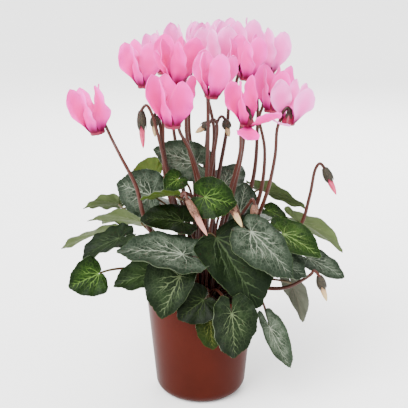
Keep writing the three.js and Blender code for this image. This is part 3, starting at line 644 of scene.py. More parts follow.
def veins(finish):
    """The share of vein at a point of a blade, and how far out it lies: the rows of VEINS, on both sides."""
    along, across = finish.map("blade")
    reach = (along * along + across * across).math("SQRT")
    sway = reach.step(0, 0.2)
    along = along + (finish.noise(finish.place(), 7, 2, 0.6) - 0.5) * sway * VEIN_DRIFT
    weave = finish.noise(finish.vector(along, across, reach), 0.14, 2, 0.6) - 0.5
    across = across + weave * sway * VEIN_DRIFT
    staggered = along - across.math("GREATER_THAN", 0) * VEIN_STAGGER
    mirrored = abs(across)
    share = None
    for start, aside, heading, length, bend, width in VEINS:
        on_rib = aside == 0 and start > 0
        mapping = finish.node(
            "ShaderNodeMapping",
            Vector=finish.vector(staggered if on_rib else along, mirrored),
            Location=(start, aside, 0),
            Rotation=(0, 0, math.radians(heading)),
        )
        mapping.vector_type = "TEXTURE"
        x, y, _ = finish.split(mapping.outputs[0])
        # A vein is full at its start, thins out and fades towards its end, and stops short behind its start.
        off = abs((x * x).math("MULTIPLY_ADD", -bend, y))
        line = off.math("MULTIPLY_ADD", -1 / width, x.math("MULTIPLY_ADD", -1 / length, 1.35))
        line = line.least(x.math("MULTIPLY_ADD", 60, 1))
        share = line if share is None else share.most(line)
    return share.math("MAXIMUM", 0, clamp=True), reach


def blade_face(name, ground, patch, vein, margin, net):
    """The upper side of a blade: patches and flecks over the ground colour, forked veins with a faint net
    between them, and a pale margin."""
    finish = Finish(name, 0.46, Specular_IOR_Level=0.06)
    vein_share, reach = veins(finish)
    place = finish.place()
    edge = finish.attribute("edge_share")
    patches = finish.noise(place, 10, 3, 0.6).step(0.36, 0.66)
    fleck = finish.noise(place, 1.7, 2, 0.7).step(0.35, 0.75)
    cells = finish.cells(place, 3.6)
    share = (patches * 0.7 + fleck * 0.3) * reach.step(0.0, 0.2, 0.4, 1) * edge.step(0.66, 0.95, 1, 0.2)
    tone = finish.blend(share, ground, patch)
    tone = finish.blend(cells.step(0.0, 0.12, 1, 0) * net * edge.step(0.7, 0.95, 1, 0.3), tone, vein)
    tone = finish.blend(vein_share * 0.9, tone, vein)
    tone = finish.blend(edge.step(0.978, 0.999) * 0.55, tone, margin)
    height = vein_share * -1.0 + fleck * 0.25 + cells.step(0, 0.3) * 0.35
    return finish.coat(tone, height, 0.55, 0.5)


def blade_back(name, ground, patch, vein):
    """The underside of a blade, paler and matt, with its veins standing proud."""
    finish = Finish(name, 0.6, Specular_IOR_Level=0.1)
    vein_share, _ = veins(finish)
    place = finish.place()
    tone = finish.blend(finish.noise(place, 7, 3), ground, patch)
    tone = finish.blend(vein_share * 0.6, tone, vein)
    return finish.coat(tone, vein_share + finish.noise(place, 1.2, 2) * 0.3, 0.5, 0.6)


def blade_rim(name, edge):
    """The thin edge all round a blade, with darker streaks."""
    finish = Finish(name, 0.5)
    streak = finish.noise(finish.place(), 2, 2)
    r, g, b = edge
    return finish.coat(finish.blend(streak, edge, (r * 0.8, g * 0.8, b * 0.7)), streak, 0.2)


def petal_skin(name, heart, body, margin, throat):
    """Petal tissue: deep at the mouth, clear pink up the middle and paler to the margin and tip."""
    finish = Finish(name, 0.55, Specular_IOR_Level=0.14)
    across, along = finish.map("UVMap")
    place = finish.place()
    side = abs(across - 0.5) * 2
    drift = (finish.noise(place, 14, 2) - 0.5) * 0.3
    streak = finish.noise(finish.vector(across * 9, along * 0.9, drift), 0.28, 2, 0.6)
    flush = (side + drift).step(0.1, 0.95, 1, 0) * along.step(0.45, 1.0, 1, 0.3)
    tone = finish.blend(flush * 0.75 + streak * 0.25, body, heart)
    pale = side.step(0.76, 1.0) * along.step(0.2, 0.6) * 0.28 + along.step(0.84, 1.0, 0, 0.25)
    tone = finish.blend(pale.least(0.9), tone, margin)
    blush = (along + streak * 0.1).step(0.15, 0.55, 0.9, 0)
    tone = finish.blend(blush, tone, heart)
    deep = (along + side * 0.05 + streak * 0.1).step(0.15, 0.42, 1, 0)
    tone = finish.blend(deep, tone, throat)
    material = finish.coat(tone, streak + finish.noise(place, 5, 2) * 0.8, 0.35, 0.35)
    glow = finish.node("ShaderNodeBsdfTranslucent", Color=tone)
    both = finish.node("ShaderNodeMixShader", Fac=PETAL_TRANSLUCENCE)
    finish.tree.links.new(finish.shader.outputs[0], both.inputs[1])
    finish.tree.links.new(glow.outputs[0], both.inputs[2])
    finish.tree.links.new(both.outputs[0], finish.tree.nodes["Material Output"].inputs["Surface"])
    return material


def throat_skin():
    finish = Finish("Magenta_mouth", 0.42, Specular_IOR_Level=0.35)
    place = finish.place()
    tone = finish.blend(finish.noise(place, 3, 2), (84, 2, 28), (138, 10, 58))
    return finish.coat(tone, finish.noise(place, 1.5, 2), 0.3, 0.3)


def stalk_skin(name, foot, middle, top, blush):
    """Fleshy stalk skin that changes colour from foot to top, with fine lengthwise streaks. Its dark foot is
    partly the stalk's own colour and partly painted shade among the crowded stalks over the tuber.
    """
    finish = Finish(name, 0.38, Specular_IOR_Level=0.25)
    around, along = finish.map("UVMap")
    place = finish.place()
    streak = finish.noise(finish.vector(around * 10, along * 6), 0.6, 3)
    blotch = finish.noise(place, 16, 2)
    # Painted shade: the dark foot stands partly for the shade among the crowded stalks over the tuber.
    tone = finish.blend(along.step(0.05, 0.5), foot, middle)
    tone = finish.blend(along.step(0.72, 0.97), tone, top)
    tone = finish.blend(streak.step(0.35, 0.75) * 0.35 + blotch.step(0.4, 0.8) * 0.25, tone, blush)
    return finish.coat(tone, streak, 0.25, 0.3)


def calyx_skin(name, dark, light):
    finish = Finish(name, 0.55, Specular_IOR_Level=0.3)
    place = finish.place()
    speckle = finish.noise(place, 1.1, 3, 0.7).step(0.4, 0.66)
    tone = finish.blend(speckle, dark, light)
    return finish.coat(tone, speckle, 0.4, 0.3)


def bud_skin(name, foot, tip, streak):
    finish = Finish(name, 0.5, Specular_IOR_Level=0.25)
    _, along = finish.map("UVMap")
    place = finish.place()
    tone = finish.blend(along.step(0.1, 0.85), foot, tip)
    tone = finish.blend(finish.noise(place, 4, 2).step(0.5, 0.8) * 0.5, tone, streak)
    return finish.coat(tone, finish.noise(place, 1, 2), 0.3, 0.3)


def soil_crumb():
    finish = Finish("Peat_soil", 0.95, Specular_IOR_Level=0.2)
    place = finish.place()
    grain = finish.noise(place, 1.6, 5, 0.75)
    tone = finish.blend(grain.step(0.35, 0.7), (17, 11, 7), (61, 44, 31))
    return finish.coat(tone, grain, 1.0, 1.5)


def cork():
    finish = Finish("Corky_tuber", 0.85)
    place = finish.place()
    crack = finish.cells(place, 4).step(0, 0.12)
    tone = finish.blend(finish.noise(place, 5, 4), (53, 36, 25), (94, 70, 51))
    tone = finish.blend(crack, (27, 19, 13), tone)
    return finish.coat(tone, crack + finish.noise(place, 1.2, 3) * 0.5, 0.8, 0.8)


def pot_plastic():
    """Moulded plastic with a soft sheen, faint clouds and a fine speckle, and scuffs near the foot."""
    finish = Finish("Satin_terracotta_plastic", 0.36, Specular_IOR_Level=0.05)
    place = finish.place()
    speckle = finish.noise(place, 0.55, 2, 0.6)
    cloud = finish.noise(place, 60, 3)
    height = finish.split(place)[2]
    tone = finish.blend(height.step(0, 110), (48, 13, 6), (60, 19, 11))
    tone = finish.blend(cloud.step(0.35, 0.7) * 0.3, tone, (70, 22, 12))
    tone = finish.blend(speckle.step(0.55, 0.8) * 0.12, tone, (94, 42, 29))
    scuff = finish.noise(place, 3.5, 5, 0.7).step(0.62, 0.72) * height.step(2, 30, 0.6, 0.05)
    tone = finish.blend(scuff * 0.35, tone, (87, 51, 37))
    roughness = speckle * 0.1 + scuff * 0.25 + 0.32
    return finish.coat(tone, speckle + scuff, 0.12, 0.12, roughness)


# The pot.
def wall_radius(z):
    return POT_DIAMETER / 2 - BEAD_STEP - POT_TAPER * (POT_HEIGHT - z)


def corner(radius, centre_r, centre_z, steps=8):
    """A quarter of a circle, from straight below its centre to straight beside it."""
    turns = [(i / steps - 1) * math.pi / 2 for i in range(steps + 1)]
    return [(centre_r + radius * math.cos(a), centre_z + radius * math.sin(a)) for a in turns]


def pot_profile():
    """The pot's section, as radius and height: from the middle of its base round outside and back inside."""
    start = wall_radius(CORNER_RADIUS) - CORNER_RADIUS
    bead = POT_HEIGHT - BEAD_HEIGHT
    half = POT_DIAMETER / 2
    inner = wall_radius(POT_HEIGHT) - POT_WALL
    sides = [(wall_radius(z), z) for z in range(24, int(bead), 10)]
    outside = [(0, 0), (PAD_RADIUS - 0.5, 0), (PAD_RADIUS, 0.5), (PAD_RADIUS + 1, FOOT_HEIGHT)]
    outside += [(FOOT_RADIUS - FOOT_WIDTH - 1, FOOT_HEIGHT), (FOOT_RADIUS - FOOT_WIDTH, 0.4)]
    outside += [(FOOT_RADIUS - FOOT_WIDTH + 0.5, 0), (FOOT_RADIUS - 0.8, 0)]
    outside += corner(CORNER_RADIUS, start, CORNER_RADIUS)[2:] + sides
    rim = [(wall_radius(bead), bead), (wall_radius(bead) + BEAD_STEP - 0.3, bead + 0.5)]
    rim += [(half - 0.1, bead + 1), (half, POT_HEIGHT - 1), (half - 0.25, POT_HEIGHT - 0.3)]
    rim += [(half - 0.8, POT_HEIGHT), (inner + 0.4, POT_HEIGHT), (inner, POT_HEIGHT - 0.5)]
    inside = corner(CORNER_RADIUS - POT_WALL, start, FOOT_HEIGHT + CORNER_RADIUS)[::-1]
    return outside + rim + inside + [(0, FOOT_HEIGHT + POT_WALL)]


def cut_away(piece, cutter):
    modify(piece, "BOOLEAN", operation="DIFFERENCE", solver="EXACT", object=cutter)
    bpy.data.objects.remove(cutter)


def pot():
    profile = pot_profile()

    def place(across, along):
        radius, z = profile[round(along * (len(profile) - 1))]
        return circle(radius, across * TURN, z)

    piece = surface("pot_shell", 128, len(profile) - 1, place)
    edit(piece, weld, face_outwards)
    for i in range(FOOT_NOTCHES):
        angle = (i + FOOT_NOTCH_TURN) / FOOT_NOTCHES * TURN
        notch = (4 * FOOT_WIDTH, FOOT_NOTCH_WIDTH, FOOT_HEIGHT)
        middle = circle(FOOT_RADIUS * MM, angle)
        bpy.ops.mesh.primitive_cube_add(size=MM, location=middle, rotation=(0, 0, angle), scale=notch)
        cut_away(piece, bpy.context.object)
    for i in range(DRAIN_HOLES):
        middle = circle(DRAIN_CIRCLE * MM, i / DRAIN_HOLES * TURN, FOOT_HEIGHT * MM)
        radius, depth = DRAIN_RADIUS * MM, 4 * FOOT_HEIGHT * MM
        bpy.ops.mesh.primitive_cylinder_add(vertices=32, radius=radius, depth=depth, location=middle)
        cut_away(piece, bpy.context.object)
    dress(piece, pot_plastic())
    return settle(piece, "pot", "pot", crease=35)


# The soil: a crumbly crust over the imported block, with loose crumbs.
SOIL_RADIUS = wall_radius(SOIL_TOP) - POT_WALL - SEAT_GAP


def soil_height(x, y):
    share = min(1, math.hypot(x, y) / SOIL_RADIUS)
    rough = SOIL_ROUGHNESS * math.sin(x * 0.31 + y * 0.17) * math.cos(y * 0.27 - x * 0.11)
    crumbs = 0.9 * rumple((x, y, 0), 3.2) + 0.7 * rumple((x, y, 9), 1.5)
    return SOIL_TOP + SOIL_MOUND * (1 - share * share) + rough * smooth(1, 0.8, share) + crumbs + CRUST_RISE


def soil_point(radius, angle, above=0.0):
    x, y = radius * math.cos(angle), radius * math.sin(angle)
    return Vector((x, y, soil_height(x, y) + above))


def crumb(model, i):
    """A loose crumb: a copy of the model with a size, a shape and a place of its own."""
    size = 0.45 + 0.8 * draw(i, 3)
    shape = Vector((size, size * (0.6 + 0.8 * draw(i, 4)), size * 0.8))
    middle = soil_point((SOIL_RADIUS - 2.5) * math.sqrt(draw(i, 2)), TURN * draw(i, 1), 0.3 * size) * MM
    piece = model.copy()
    piece.data = model.data.copy()
    bpy.context.collection.objects.link(piece)
    for vertex in piece.data.vertices:
        vertex.co = vertex.co * shape + middle
    return piece


def soil():
    def place(across, along):
        return soil_point(SOIL_RADIUS * along, -across * TURN)

    peat = soil_crumb()
    dress(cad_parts["soil"], peat)
    crust = surface("soil_crust", 150, 44, place)
    edit(crust, weld)
    modify(crust, "SOLIDIFY", thickness=CRUST_THICKNESS * MM, offset=-1)
    settle(dress(crust, peat), "soil")
    bpy.ops.mesh.primitive_ico_sphere_add(subdivisions=2, radius=CRUMB_RADIUS * MM)
    model = bpy.context.object
    for vertex in model.data.vertices:
        vertex.co *= 1 + 0.35 * noise.noise(vertex.co * 900)
    crumbs = [crumb(model, i) for i in range(CRUMBS)]
    bpy.data.objects.remove(model)
    assembled("soil_crumbs", crumbs, peat, "soil")


# The crown of the plant.
def tuber():
    bpy.ops.object.select_all(action="DESELECT")
    bpy.ops.mesh.primitive_uv_sphere_add(segments=64, ring_count=32, radius=1)
    piece = bpy.context.object
    piece.name = "tuber"
    for vertex in piece.data.vertices:
        unit = vertex.co.copy()
        lumps = 1 + 0.035 * rumple(unit * TUBER_RADIUS, 9) + 0.02 * rumple(unit * TUBER_RADIUS, 3)
        size = Vector((TUBER_RADIUS, TUBER_RADIUS, TUBER_HALF_HEIGHT)) * (lumps - 0.02)
        vertex.co = (TUBER + unit * size) * MM
    dress(piece, cork())
    return settle(piece, "stems", "tuber_and_stems")


def crown_feet(targets):
    """Feet spaced in a spiral over the crown; each stalk takes the free one nearest to where it heads."""
    golden = math.pi * (3 - math.sqrt(5))
    free = []
    for k in range(len(targets)):
        free.append(circle(CROWN_RADIUS * math.sqrt((k + 0.5) / len(targets)), k * golden))
    heading = []
    crown_top = TUBER.z + TUBER_HALF_HEIGHT
    for index, target in enumerate(targets):
        away = Vector((target.x - TUBER.x, target.y - TUBER.y, 0))
        lean = away.length / max(1, target.z - crown_top)
        wanted = away.normalized() * CROWN_RADIUS * min(1, math.sqrt(lean / CROWN_LEAN))
        heading.append((lean, index, wanted))
    feet = [None] * len(targets)
    for lean, index, wanted in sorted(heading, key=lambda each: -each[0]):
        nearest = min(range(len(free)), key=lambda k: (free[k] - wanted).length)
        place = free.pop(nearest)
        dome = math.sqrt(1 - (place.length / TUBER_RADIUS) ** 2)
        feet[index] = TUBER + place + Vector((0, 0, TUBER_HALF_HEIGHT * dome - STALK_SINK))
    return feet


# The blades.
class Blade:
    """One heart-shaped blade, placed by its row."""

    def __init__(self, row, index):
        row = PLAIN_LEAF | row
        self.index = index
        self.tone = row["tone"]
        self.at = Vector(row["at"])
        self.width = row["width"]
        self.fold = math.radians(row["fold"])
        self.lobes = row["lobes"]
        self.skew = row["skew"]
        self.arrive = math.radians(row["arrive"])
        self.through = [Vector(p) for p in row["through"]]
        self.frill = mix(*BLADE_FRILL, draw(index, 3))
        along = Vector(row["tip"]) - self.at
        self.length = along.length
        self.along = along.normalized()
        up = Vector(row["faces"])
        self.up = (up - self.along * up.dot(self.along)).normalized()
        self.across = self.up.cross(self.along)

    @staticmethod
    def outline(angle):
        """How far the edge of the plain heart lies from its notch."""
        a = abs(angle)
        heart = 0.66 + 0.34 * math.exp(-((a / 0.78) ** 1.15)) - 0.16 * (a / math.pi) ** 3
        return heart * (1 - 0.3 * smooth(2.6, math.pi, a))

    def edge(self, angle, share):
        """The outline with its corners at the vein ends and its fine teeth."""
        margin = smooth(0.82, 1, share)
        tooth = abs(math.sin(angle * BLADE_TEETH / 2 + draw(self.index, 5))) - 0.5
        uneven = 0.6 + 0.8 * draw(self.index, round(angle * BLADE_TEETH / math.pi))
        corners = CORNER_DEPTH * math.cos(TURN * angle / (0.8 * VEIN_SPACING))
        return self.outline(angle) * (1 + margin * (TOOTH_DEPTH * tooth * uneven + corners))

    def point(self, angle, share):
        """A point of the blade, by its angle and its share of the way from the notch to the edge."""
        r = share * self.edge(angle, share)
        u = r * math.cos(angle) * (self.lobes if abs(angle) > math.pi / 2 else 1)
        half = self.width * (1 + self.skew * math.copysign(1, angle))
        v = r * math.sin(angle) * half / (OUTLINE_WIDTH * self.length)
        wing = math.sqrt(v * v + 0.004) - math.sqrt(0.004)
        ripple = BLADE_RIPPLE * share * share * math.sin(4 * angle + 6 * draw(self.index, 1))
        frill = self.frill * share**3 * math.sin(11 * angle + 6 * draw(self.index, 2))
        turn = angle / ((1 - 0.2 * r) * VEIN_SPACING)
        quilt = BLADE_QUILT * r * (abs(turn - round(turn)) - 0.25)
        lift = math.tan(self.fold) * wing + BLADE_ARCH * (u - u * abs(u)) + ripple + frill + quilt
        p = self.at + self.along * (u * self.length) + self.across * (v * math.cos(self.fold) * self.length)
        return p + self.up * (lift * self.length)

    def mesh(self, face, back, rim):
        """The blade, with the flat map and the shares that its veins and its margin are painted by."""
        marks = []

        def place(across, along):
            angle = (1 - 2 * across) * BLADE_HALF_ANGLE
            share = 1 - (1 - along) ** 1.35
            marks.append((angle, share))
            return self.point(angle, share)

        piece = surface(numbered("blade", self.index), 140, 11, place)
        flat = [circle(share * self.outline(angle), angle).xy for angle, share in marks]
        layer = piece.data.uv_layers.new(name="blade")
        layer.data.foreach_set("uv", [n for loop in piece.data.loops for n in flat[loop.vertex_index]])
        shares = piece.data.attributes.new("edge_share", "FLOAT", "POINT")
        shares.data.foreach_set("value", [share for _, share in marks])
        edit(piece, weld)
        dress(piece, face, back, rim)
        return wall(piece, BLADE_THICKNESS, material_offset=1, material_offset_rim=2)

    def route(self, foot):
        into = turned(self.up, self.along, self.arrive)
        sag = math.tan(self.fold) * PETIOLE_TIP_RADIUS
        clear = BLADE_THICKNESS / 2 + SEAT_GAP * 0.5 + PETIOLE_TIP_RADIUS * abs(math.sin(self.arrive)) + sag
        end = self.at - into * (clear / math.cos(self.arrive))
        if self.through:
            return spline([foot, *self.through, end - into * 8, end])
        rise = foot.lerp(end, 0.1)
        rise.z = foot.z + max(24, (end.z - foot.z) * 0.7)
        return arch(foot, rise, end - into * ((end - foot).length * 0.35), end)

    def stalk(self, foot):
        lumpy = 10 * draw(self.index, 7)

        def radius(share, angle):
            body = mix(PETIOLE_RADIUS, PETIOLE_TIP_RADIUS, share) * (1 + 0.25 * smooth(0.1, 0, share))
            return body * (1 + 0.04 * math.sin(angle * 2 + share * 9 + lumpy))

        return tube("petiole", self.route(foot), 44, 10, radius)


# The flowers.
def sepal(columns, rows, place):
    piece = surface("sepal", columns, rows, place)
    edit(piece, weld)
    wall(piece, SEPAL_THICKNESS)
    edit(piece, face_outwards)
    return piece


class Bloom:
    """One nodding flower with its petals swept back, placed by its row."""

    def __init__(self, row, index):
        self.index = index
        self.size = row["size"]
        self.mouth = Vector(row["mouth"])
        self.axis = Vector(row["axis"]).normalized()
        self.through = [Vector(p) for p in row["through"]]
        self.fallen = row.get("fallen", {})
        if "gap" in row:
            gap = circle(1, math.radians(row["gap"]))
        else:
            gap = Vector((TUBER.x - self.mouth.x, TUBER.y - self.mouth.y, 0))
        self.gap = (gap - self.axis * gap.dot(self.axis)).normalized()
        self.side = self.axis.cross(self.gap)

    def point(self, p):
        """Where a point of the bloom lies: x runs from its axis to the gap, and z runs up from its mouth."""
        return self.mouth + self.gap * p.x + self.side * p.y + self.axis * p.z

    def stalk(self, foot):
        """The stalk with its hook, swollen where it enters the calyx."""
        hook = [*HOOK, (0, NOSE_LENGTH + SEAT_GAP / self.size)]
        route = spline([foot, *self.through, *(self.point(Vector((r, 0, z)) * self.size) for r, z in hook)])

        def radius(share, angle):
            body = narrowing(share) * (1 + 0.2 * smooth(0.06, 0, share))
            swelling = 1.4 * smooth(0.972, 0.99, share)
            return (body + swelling) * (1 + 0.03 * math.sin(2 * angle + 7 * share + self.index))

        return tube("stalk", route, 72, 12, radius, hooked)

    def petals(self):
        heading = math.atan2(self.gap.y, self.gap.x)
        for k, azimuth in enumerate(PETAL_RING):
            turn = math.radians(azimuth + 6 * (draw(self.index, k) - 0.5))
            lean = mix(*PETAL_LEAN, draw(self.index, k + 10))
            twist = mix(*PETAL_TWIST, draw(self.index, k + 20))
            if k in self.fallen:
                compass, lean, *twists = self.fallen[k]
                turn = math.radians(compass) - heading
                if lean > FLAT_LEAN:
                    twist = FLAT_TWIST
                if twists:
                    twist = twists[0]
            yield Petal(
                bloom=self,
                seed=self.index * 5 + k,
                azimuth=turn,
                lean=math.radians(lean),
                twist=math.radians(twist),
                size=self.size * (0.95 + 0.1 * draw(self.index, k + 30)),
            )

    def nose(self):
        """The short tube of the flower, from its rolled mouth up to the calyx, hollow below."""

        def place(across, along):
            radius, z = NOSE[round(along * (len(NOSE) - 1))]
            angle = across * TURN
            ribs = 1 + 0.05 * math.cos(5 * angle) * smooth(0, 3, radius)
            return self.point(circle(ribs * radius, angle, z) * self.size)

        piece = surface("nose", 40, len(NOSE) - 1, place)
        edit(piece, weld, face_outwards)
        return piece

    def style(self):
        route = spline([self.point(Vector((0, 0, z)) * self.size) for z in (8, 4, 0, -2)])
        return tube("style", route, 6, 8, lambda share, _: STYLE_RADIUS * (1 + 0.3 * smooth(0.8, 1, share)))

    def sepal_at(self, turn):
        def place(across, along):
            spread = (2 * across - 1) * 2.3 * (1 - along**1.6) ** 0.8
            radius = 2.85 + 2.6 * along - 0.06 * spread * spread
            x = radius * math.cos(turn) - spread * math.sin(turn)
            y = radius * math.sin(turn) + spread * math.cos(turn)
            return self.point(Vector((x, y, NOSE_LENGTH + 0.6 - 6.2 * along)) * self.size)

        return sepal(4, 7, place)

    def sepals(self):
        """The pointed sepals that clasp the top of the tube."""
        return [self.sepal_at((k + 0.5) / SEPALS * TURN) for k in range(SEPALS)]


class Petal:
    """One petal: it leaves the mouth flat, turns sharply back and twists as it rises."""

    def __init__(self, bloom, seed, azimuth, lean, twist, size):
        self.bloom = bloom
        self.seed = seed
        self.lean = lean
        self.twist = twist
        self.size = size
        self.outward = circle(1, azimuth)
        self.round = Vector((-math.sin(azimuth), math.cos(azimuth), 0))
        self.line = self.middle_line(96)

    def slope(self, share):
        """The angle between the petal and the bloom's axis."""
        setting_out = (math.radians(PETAL_SET_OUT) - self.lean) * math.exp(-share / PETAL_BEND)
        return self.lean + setting_out - math.radians(PETAL_CLOSING) * share

    def middle_line(self, steps):
        """Radius and height of points along the petal's middle."""
        r, z = PETAL_ROOT
        line = [(r, z)]
        for i in range(steps):
            slope = self.slope((i + 0.5) / steps)
            r += math.sin(slope) * PETAL_LENGTH * self.size / steps
            z += math.cos(slope) * PETAL_LENGTH * self.size / steps
            line.append((r, z))
        return line

    def half_width(self, share, side):
        swell = 0.3 + 0.7 * smooth(0.04, 0.6, share)
        tip = max(0, 1 - max(0, (share - 0.55) / 0.45) ** 2.5) ** 0.6
        phase = 2.4 * self.seed + math.copysign(0.9, side)
        sway = 0.05 * math.sin(7 * share + phase)
        nicks = 0.035 * smooth(0.5, 0.9, share) * math.sin(29 * share + phase)
        return PETAL_WIDTH / 2 * swell * tip * (1 + sway + nicks)

    def point(self, share, side):
        """A point of the petal, by its share of the length and its side, from -1 to 1."""
        r, z = self.line[round(share * (len(self.line) - 1))]
        slope = self.slope(share)
        axial = Vector((0, 0, 1))
        along = turned(axial, self.outward, slope)
        normal = turned(self.outward, -axial, slope)
        turn = self.twist * smooth(0.02, 0.7, share)
        across = turned(self.round, normal, turn)
        face = turned(normal, -self.round, turn)
        half = self.half_width(share, side) * self.size
        p = self.outward * r + axial * z + across * (half * side)
        p += face * (-PETAL_CUP * half * side * side) - along * (PETAL_CURL * half * side * side * share)
        spot = (share * PETAL_LENGTH, side * PETAL_WIDTH / 2, 0)
        crumple = PETAL_CRUMPLE * rumple(spot, 10, self.seed) * smooth(0.1, 0.4, share)
        wave = math.sin(19 * share + 3 * side + self.seed) * smooth(0.2, 0.5, share)
        return self.bloom.point(p + face * (crumple + PETAL_WAVE * abs(side) ** 3 * wave))

    def mesh(self):
        piece = surface("petal", 14, 30, lambda across, along: self.point(along, 2 * across - 1))
        edit(piece, weld)
        return wall(piece, PETAL_THICKNESS)


# The buds.
class Bud:
    """One nodding bud: its stalk hooks over into a calyx from which the furled petals hang."""

    def __init__(self, row, index):
        self.index = index
        self.small = row.get("small", False)
        self.crest, self.neck, self.tip = (Vector(row[key]) for key in ("crest", "neck", "tip"))
        self.through = [Vector(p) for p in row["through"]]
        self.calyx_end = self.neck.lerp(self.tip, BUD_CALYX_SHARE)
        self.swell = BUD_CALYX_SWELL * (TENDER_SWELL if index in TENDER_BUDS else 1)
        self.axis = (self.tip - self.neck).normalized()
        self.side = self.axis.orthogonal().normalized()
        self.other = self.axis.cross(self.side)

    def route(self, foot):
        nod = Vector((self.crest.x - self.neck.x, self.crest.y - self.neck.y, 0)).normalized() * 4
        shoulder = self.crest + nod - Vector((0, 0, 5))
        calyx = [self.neck, self.neck.lerp(self.calyx_end, 0.5), self.calyx_end]
        return spline([foot, *self.through, shoulder, self.crest, *calyx])

    def stalk(self, foot):
        """The stalk with its hook, and the swollen calyx that it ends in."""
        route = self.route(foot)
        calyx_from = 1 - (self.calyx_end - self.neck).length / route.length

        def radius(share, angle):
            if share < calyx_from:
                return narrowing(share) * (1 + 0.03 * math.sin(2 * angle + 7 * share))
            along = (share - calyx_from) / (1 - calyx_from)
            return HOOK_RADIUS + self.swell * math.sin(math.pi * (0.12 + along * 0.72)) - 0.8

        return tube("stalk", route, 80, 12, radius, hooked)

    def spindle(self):
        """The furled petals, wound round one another in a spiral."""
        start = self.neck.lerp(self.tip, BUD_CALYX_SHARE - 0.12)
        length = (self.tip - start).length
        profile = spline([Vector((z, r, 0)) for z, r in BUD_GIRTH])

        def place(across, along):
            z, r, _ = profile.at(along)
            angle = across * TURN
            wound = 1 + 0.16 * math.cos(5 * angle + 5.5 * z) * smooth(0, 0.3, r)
            radius = 0 if along in (0, 1) else max(0, r) * BUD_RADIUS * wound
            return start + self.axis * (z * length) + turned(self.side, self.other, angle) * radius

        piece = surface(numbered("furled", self.index), 40, 26, place)
        edit(piece, weld, face_outwards)
        return piece

    def sepal_at(self, turn):
        length = (self.calyx_end - self.neck).length * 1.25

        def place(across, along):
            spread = (2 * across - 1) * 0.78 * (1 - along**2.2) ** 0.7
            radius = HOOK_RADIUS + self.swell * math.sin(math.pi * (0.1 + 0.68 * along)) + 0.25
            out = turned(self.side, self.other, turn + spread)
            return self.neck + self.axis * (along * length) + out * radius

        return sepal(6, 9, place)

    def sepals(self):
        """The sepals laid along the bud's neck, their points lifting a little."""
        return [self.sepal_at(k / SEPALS * TURN) for k in range(SEPALS)]


# The whole plant.
def plant():
    blades = [Blade(row, i) for i, row in enumerate(LEAVES)]
    blooms = [Bloom(row, i) for i, row in enumerate(BLOOMS)]
    buds = [Bud(row, i) for i, row in enumerate(BUDS)]
    goals = [blade.at for blade in blades] + [bloom.mouth for bloom in blooms] + [bud.crest for bud in buds]
    feet = dict(zip(blades + blooms + buds, crown_feet(goals)))
    calyx = calyx_skin("Mottled_calyx", (19, 16, 8), (56, 49, 31))
    tuber()
    stalks(blades, blooms, buds, feet)
    leaves(blades)
    flowers(blooms, calyx)
    bud_heads(buds, calyx)


def stalks(blades, blooms, buds, feet):
    """Three pieces, which stand for one solid together with the tuber."""
    # The leaf stalks' dark foot is partly their own colour and partly painted shade near the crown.
    leaf_stalk = stalk_skin("Leaf_stalk", (29, 9, 6), (60, 25, 15), (67, 58, 25), (79, 41, 27))
    flower_stalk = stalk_skin("Flower_stalk", (49, 19, 11), (56, 22, 13), (20, 13, 6), (79, 37, 25))
    rows = [("leaf", blades, leaf_stalk), ("flower", blooms, flower_stalk), ("bud", buds, flower_stalk)]
    for kind, heads, skin in rows:
        tubes = [head.stalk(feet[head]) for head in heads]
        assembled(f"{kind}_stalks", tubes, skin, "stems", "tuber_and_stems")


def leaves(blades):
    looks = blade_looks()
    for blade in blades:
        piece = blade.mesh(*looks[LOOK_OF.get(blade.index + 1, blade.tone)])
        settle(piece, "leaf_" + blade.tone, numbered("leaf", blade.index), crease=60)


def flowers(blooms, calyx):
    """The petals and the tube of a bloom stand for its solid; the sepals are the scene's own."""
    skins = {
        "rose": petal_skin("Rose_petal", (238, 16, 164), (250, 50, 198), (255, 126, 222), (116, 2, 50)),
        "pink": petal_skin("Pink_petal", (244, 38, 176), (252, 84, 212), (255, 156, 234), (114, 3, 52)),
        # Painted backlight: the pink made paler for the back blooms, as if lit through from behind.
        "pale_painted_backlight": petal_skin("Pale_petal_painted_backlight", (250, 98, 204), (254, 164, 236), (255, 212, 248), (114, 4, 52)),
    }
    throat = throat_skin()
    for bloom in blooms:
        index, solid = bloom.index, numbered("bloom", bloom.index)
        petals = [petal.mesh() for petal in bloom.petals()]
        assembled(numbered("petals", index), petals, skins[PETAL_TONES[index]], "petals", solid, crease=60)
        assembled(numbered("nose", index), [bloom.nose(), bloom.style()], throat, "petals", solid)
        assembled(numbered("calyx", index), bloom.sepals(), calyx, "stems")


def bud_heads(buds, calyx):
    """The furled petals of a bud stand for its solid, but a small bud has no solid of its own."""
    tender_calyx = calyx_skin("Tender_calyx", (70, 43, 29), (126, 90, 73))
    skins = {
        "blush": bud_skin("Blush_bud", (128, 78, 64), (184, 133, 121), (163, 99, 95)),
        "pink": bud_skin("Pink_bud", (128, 32, 51), (200, 62, 102), (208, 92, 124)),
        "cream": bud_skin("Cream_bud", (150, 102, 83), (182, 162, 113), (160, 88, 88)),
    }
    with_solid = [bud for bud in buds if not bud.small]
    for bud in buds:
        green = tender_calyx if bud.index in TENDER_BUDS else calyx
        assembled(numbered("bud_calyx", bud.index), bud.sepals(), green, "stems")
        solids = [] if bud.small else [numbered("bud", with_solid.index(bud))]
        settle(dress(bud.spindle(), skins[BUD_TONES.get(bud.index, "cream")]), "buds", *solids)


